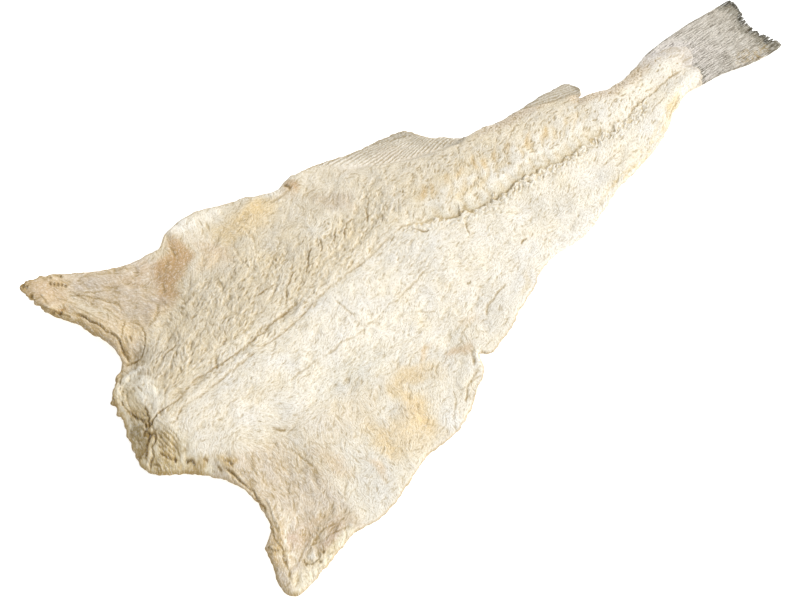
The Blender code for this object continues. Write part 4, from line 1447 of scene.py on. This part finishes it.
wash(paintUnder, softStep(lumps(84, 2.5, 9.0) * 0.8) * (0.3 + 0.7 * backShade), (96, 88, 68), 0.6)
wash(paintUnder, softStep(-lumps(84, 2.5, 9.0) * 0.8) * backShade, (172, 160, 128), 0.6)
wash(paintUnder, zone["upperEar"] + zone["lowerEar"], (196, 180, 152), 0.5)
wash(paintUnder, zone["firstFin"] + zone["secondFin"], (160, 150, 130), 0.8)
wash(paintUnder, skinFolds, (228, 220, 198), 0.25)
wash(paintUnder, 0.6 - skinFolds, (120, 104, 76), 0.35)
for line in under["sideLines"]:
    part, gap, _, taper = nearLine(line, 8.0, 0.8)
    stripe = np.zeros(gx.shape)
    stripe[part] = taper * np.exp(-((gap / under["sideHalfWidth"]) ** 2))
    wrinkles += under["sides"] * stripe
    wash(paintUnder, stripe, (226, 216, 188), 0.8)
wrinkles += under["finRays"] * (rays - webs)


def skinUnder(x, y):
    return readAt(lowPlain, x, y) + np.clip(readAt(wrinkles, x, y), 0.0, under["highest"])


def colourTo(piece, name, x, y, canvas):  # the canvas holds screen tones, the mesh linear light
    layer = piece.data.color_attributes.new(name, "FLOAT_COLOR", "POINT")
    seen = np.column_stack([readAt(canvas[..., k], x, y) for k in range(3)]) / 255.0
    seen = np.clip(seen, 0.0, 1.0)
    linear = np.where(seen <= 0.04045, seen / 12.92, ((seen + 0.055) / 1.055) ** 2.4)
    layer.data.foreach_set("color", np.column_stack([linear, np.ones(len(x))]).astype(np.float32).ravel())


def lieTo(piece, x, y):  # how much each of six directions counts in the fibres at each point
    turn = np.arctan2(readAt(np.sin(2.0 * angle), x, y), readAt(np.cos(2.0 * angle), x, y)) / 2.0
    weights = [np.clip(np.cos(2.0 * (turn - k * math.pi / 6.0)), 0.0, None) ** 3 for k in range(6)]
    weights = np.array(weights) / np.sqrt((np.array(weights) ** 2).sum(0))
    for name, three in (("lieA", weights[:3]), ("lieB", weights[3:])):
        layer = piece.data.attributes.new(name, "FLOAT_VECTOR", "POINT")
        layer.data.foreach_set("vector", three.T.astype(np.float32).ravel())


def planMap(piece, x, y, onTop, topShare):  # lays the top above the underside, each flat
    mesh = piece.data
    layer = mesh.uv_layers.new(name="OFBake")
    corner = np.empty(len(mesh.loops), np.int32)
    mesh.loops.foreach_get("vertex_index", corner)
    margin = 0.004
    u = margin + (1.0 - 2 * margin) * (x - x.min()) / (x.max() - x.min())
    v = (y - y.min()) / (y.max() - y.min())
    upper = 1.0 - topShare + margin + v * (topShare - 2 * margin)
    lower = margin + v * (1.0 - 2 * margin - topShare)
    v = np.where(onTop, upper, lower)
    layer.data.foreach_set("uv", np.column_stack([u, v]).astype(np.float32)[corner].ravel())


def fibreGrain(look, place, long, wide, detail):  # a fine grain that follows the fibres
    total = 0.5
    for k in range(6):
        name, axis = ("lieA", "lieB")[k // 3], "XYZ"[k % 3]
        lie = look.add("Attribute", {"attribute_name": name}, {}, out="Vector")
        weight = look.add("SeparateXYZ", {}, {0: lie}, out=axis)
        turned = look.add("Mapping", {"vector_type": "TEXTURE"}, {
            "Vector": place,
            "Location": (0.37 * k, 0.21 * k, 0.0),
            "Rotation": (0.0, 0.0, k * math.pi / 6.0),
            "Scale": (long * mm, wide * mm, 1.0),
        })
        noise = look.add("TexNoise", {"noise_dimensions": "2D"}, {
            "Vector": turned, "Scale": 1.0, "Detail": detail, "Roughness": 0.62,
        })
        total = total + weight * (noise - 0.5)
    return total


dried = {
    # what all the finishes share
    "grainShare": 0.65,  # the rest is an even speck
    "darkest": 0.34,
    "palest": 0.66,
    "roughSpread": 0.25,
    "specular": 0.3,
    "ior": 1.42,
}


def fibrousLook(name, tone, finish):
    look = Look(name)
    place = look.add("TexCoord", {}, {}, out=3)
    colour = look.add("Attribute", {"attribute_name": tone}, {}, out=0)
    grain = fibreGrain(look, place, *finish["grain"])
    speck = look.add("TexNoise", {}, {
        "Vector": place, "Scale": finish["speck"], "Detail": 3.0, "Roughness": 0.6,
    })
    both = grain * dried["grainShare"] + speck * (1.0 - dried["grainShare"])
    # Darker in the grain's hollows and paler on its crests, in step with the bump: painted shade and painted
    # highlights, with the even speck mixed in.
    dark = look.ramp(both, [(dried["darkest"], 1.0), (0.50, 0.0)])
    pale = look.ramp(both, [(0.50, 0.0), (dried["palest"], 1.0)])
    colour = look.mix(dark * finish["dark"][0], colour, finish["dark"][1])
    colour = look.mix(pale * finish["pale"][0], colour, finish["pale"][1])
    bump = look.add("Bump", {}, {"Strength": 1.0, "Distance": finish["bump"] * mm, "Height": both})
    shade = look.add("BsdfPrincipled", {}, {
        "Base Color": colour,
        "Roughness": finish["rough"] + both * dried["roughSpread"],
        "Normal": bump,
        "Specular IOR Level": dried["specular"],
        "IOR": dried["ior"],
    })
    return look.finish(shade)


finishes = {
    "driedFlesh": {
        "grain": (3.2, 1.05, 3.0), "speck": 880.0, "rough": 0.66, "bump": 1.1,
        "dark": (0.56, (0.44, 0.34, 0.19, 1.0)), "pale": (0.46, (0.97, 0.94, 0.86, 1.0)),
    },
    "driedFin": {
        "grain": (13.0, 0.9, 3.0), "speck": 700.0, "rough": 0.55, "bump": 1.5,
        "dark": (0.85, (0.10, 0.08, 0.05, 1.0)), "pale": (0.70, (0.88, 0.85, 0.78, 1.0)),
    },
    "driedSkin": {
        "grain": (6.0, 2.0, 3.0), "speck": 480.0, "rough": 0.50, "bump": 1.0,
        "dark": (0.45, (0.16, 0.13, 0.08, 1.0)), "pale": (0.30, (0.80, 0.76, 0.64, 1.0)),
    },
}


def cutPart(line, where):  # marks the stretch of a line that runs along the parting
    marks = np.zeros(len(line), bool)
    marks[where] = True
    return marks


fleshCells = (grid["fleshCell"], grid["hiddenCell"])
lowerCut = cutPart(lowerLine, slice(len(below) + len(endBelow) - 1, None))
upperCut = cutPart(upperLine, slice(0, len(parting)))
fleshBulge, thinBulge = 0.4, 0.15  # how far the wall's middle stands out
lower = closedPiece("lowerFlesh", lowerLine, fleshCells, fleshTop, fleshUnder, fleshBulge, lowerCut)
upper = closedPiece("upperFlesh", upperLine, fleshCells, fleshTop, fleshUnder, fleshBulge, upperCut)
finCells = (grid["finCell"], grid["finCell"] * 1.6)
fin = closedPiece("tailFin", finLine, finCells, finTop, finUnder, thinBulge)
skinCells = (grid["hiddenCell"], grid["skinCell"])
skin = closedPiece("skin", fleshLine, skinCells, skinUpper, skinUnder, thinBulge)
dressing = [
    # piece, sheet of colours, finish, share of the map for its top
    (lower, paint, "driedFlesh", 0.9),
    (upper, paint, "driedFlesh", 0.9),
    (fin, finPaint, "driedFin", 0.5),
    (skin, paintUnder, "driedSkin", 0.1),
]
looks = {name: fibrousLook(name, "seenTone", finish) for name, finish in finishes.items()}
for (piece, x, y, onTop), canvas, finish, topShare in dressing:
    colourTo(piece, "seenTone", x, y, canvas)
    lieTo(piece, x, y)
    planMap(piece, x, y, onTop, topShare)
    piece.data.materials.append(looks[finish])
    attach(piece, "root")
    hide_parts("dried_cod")
print("pieces finished")
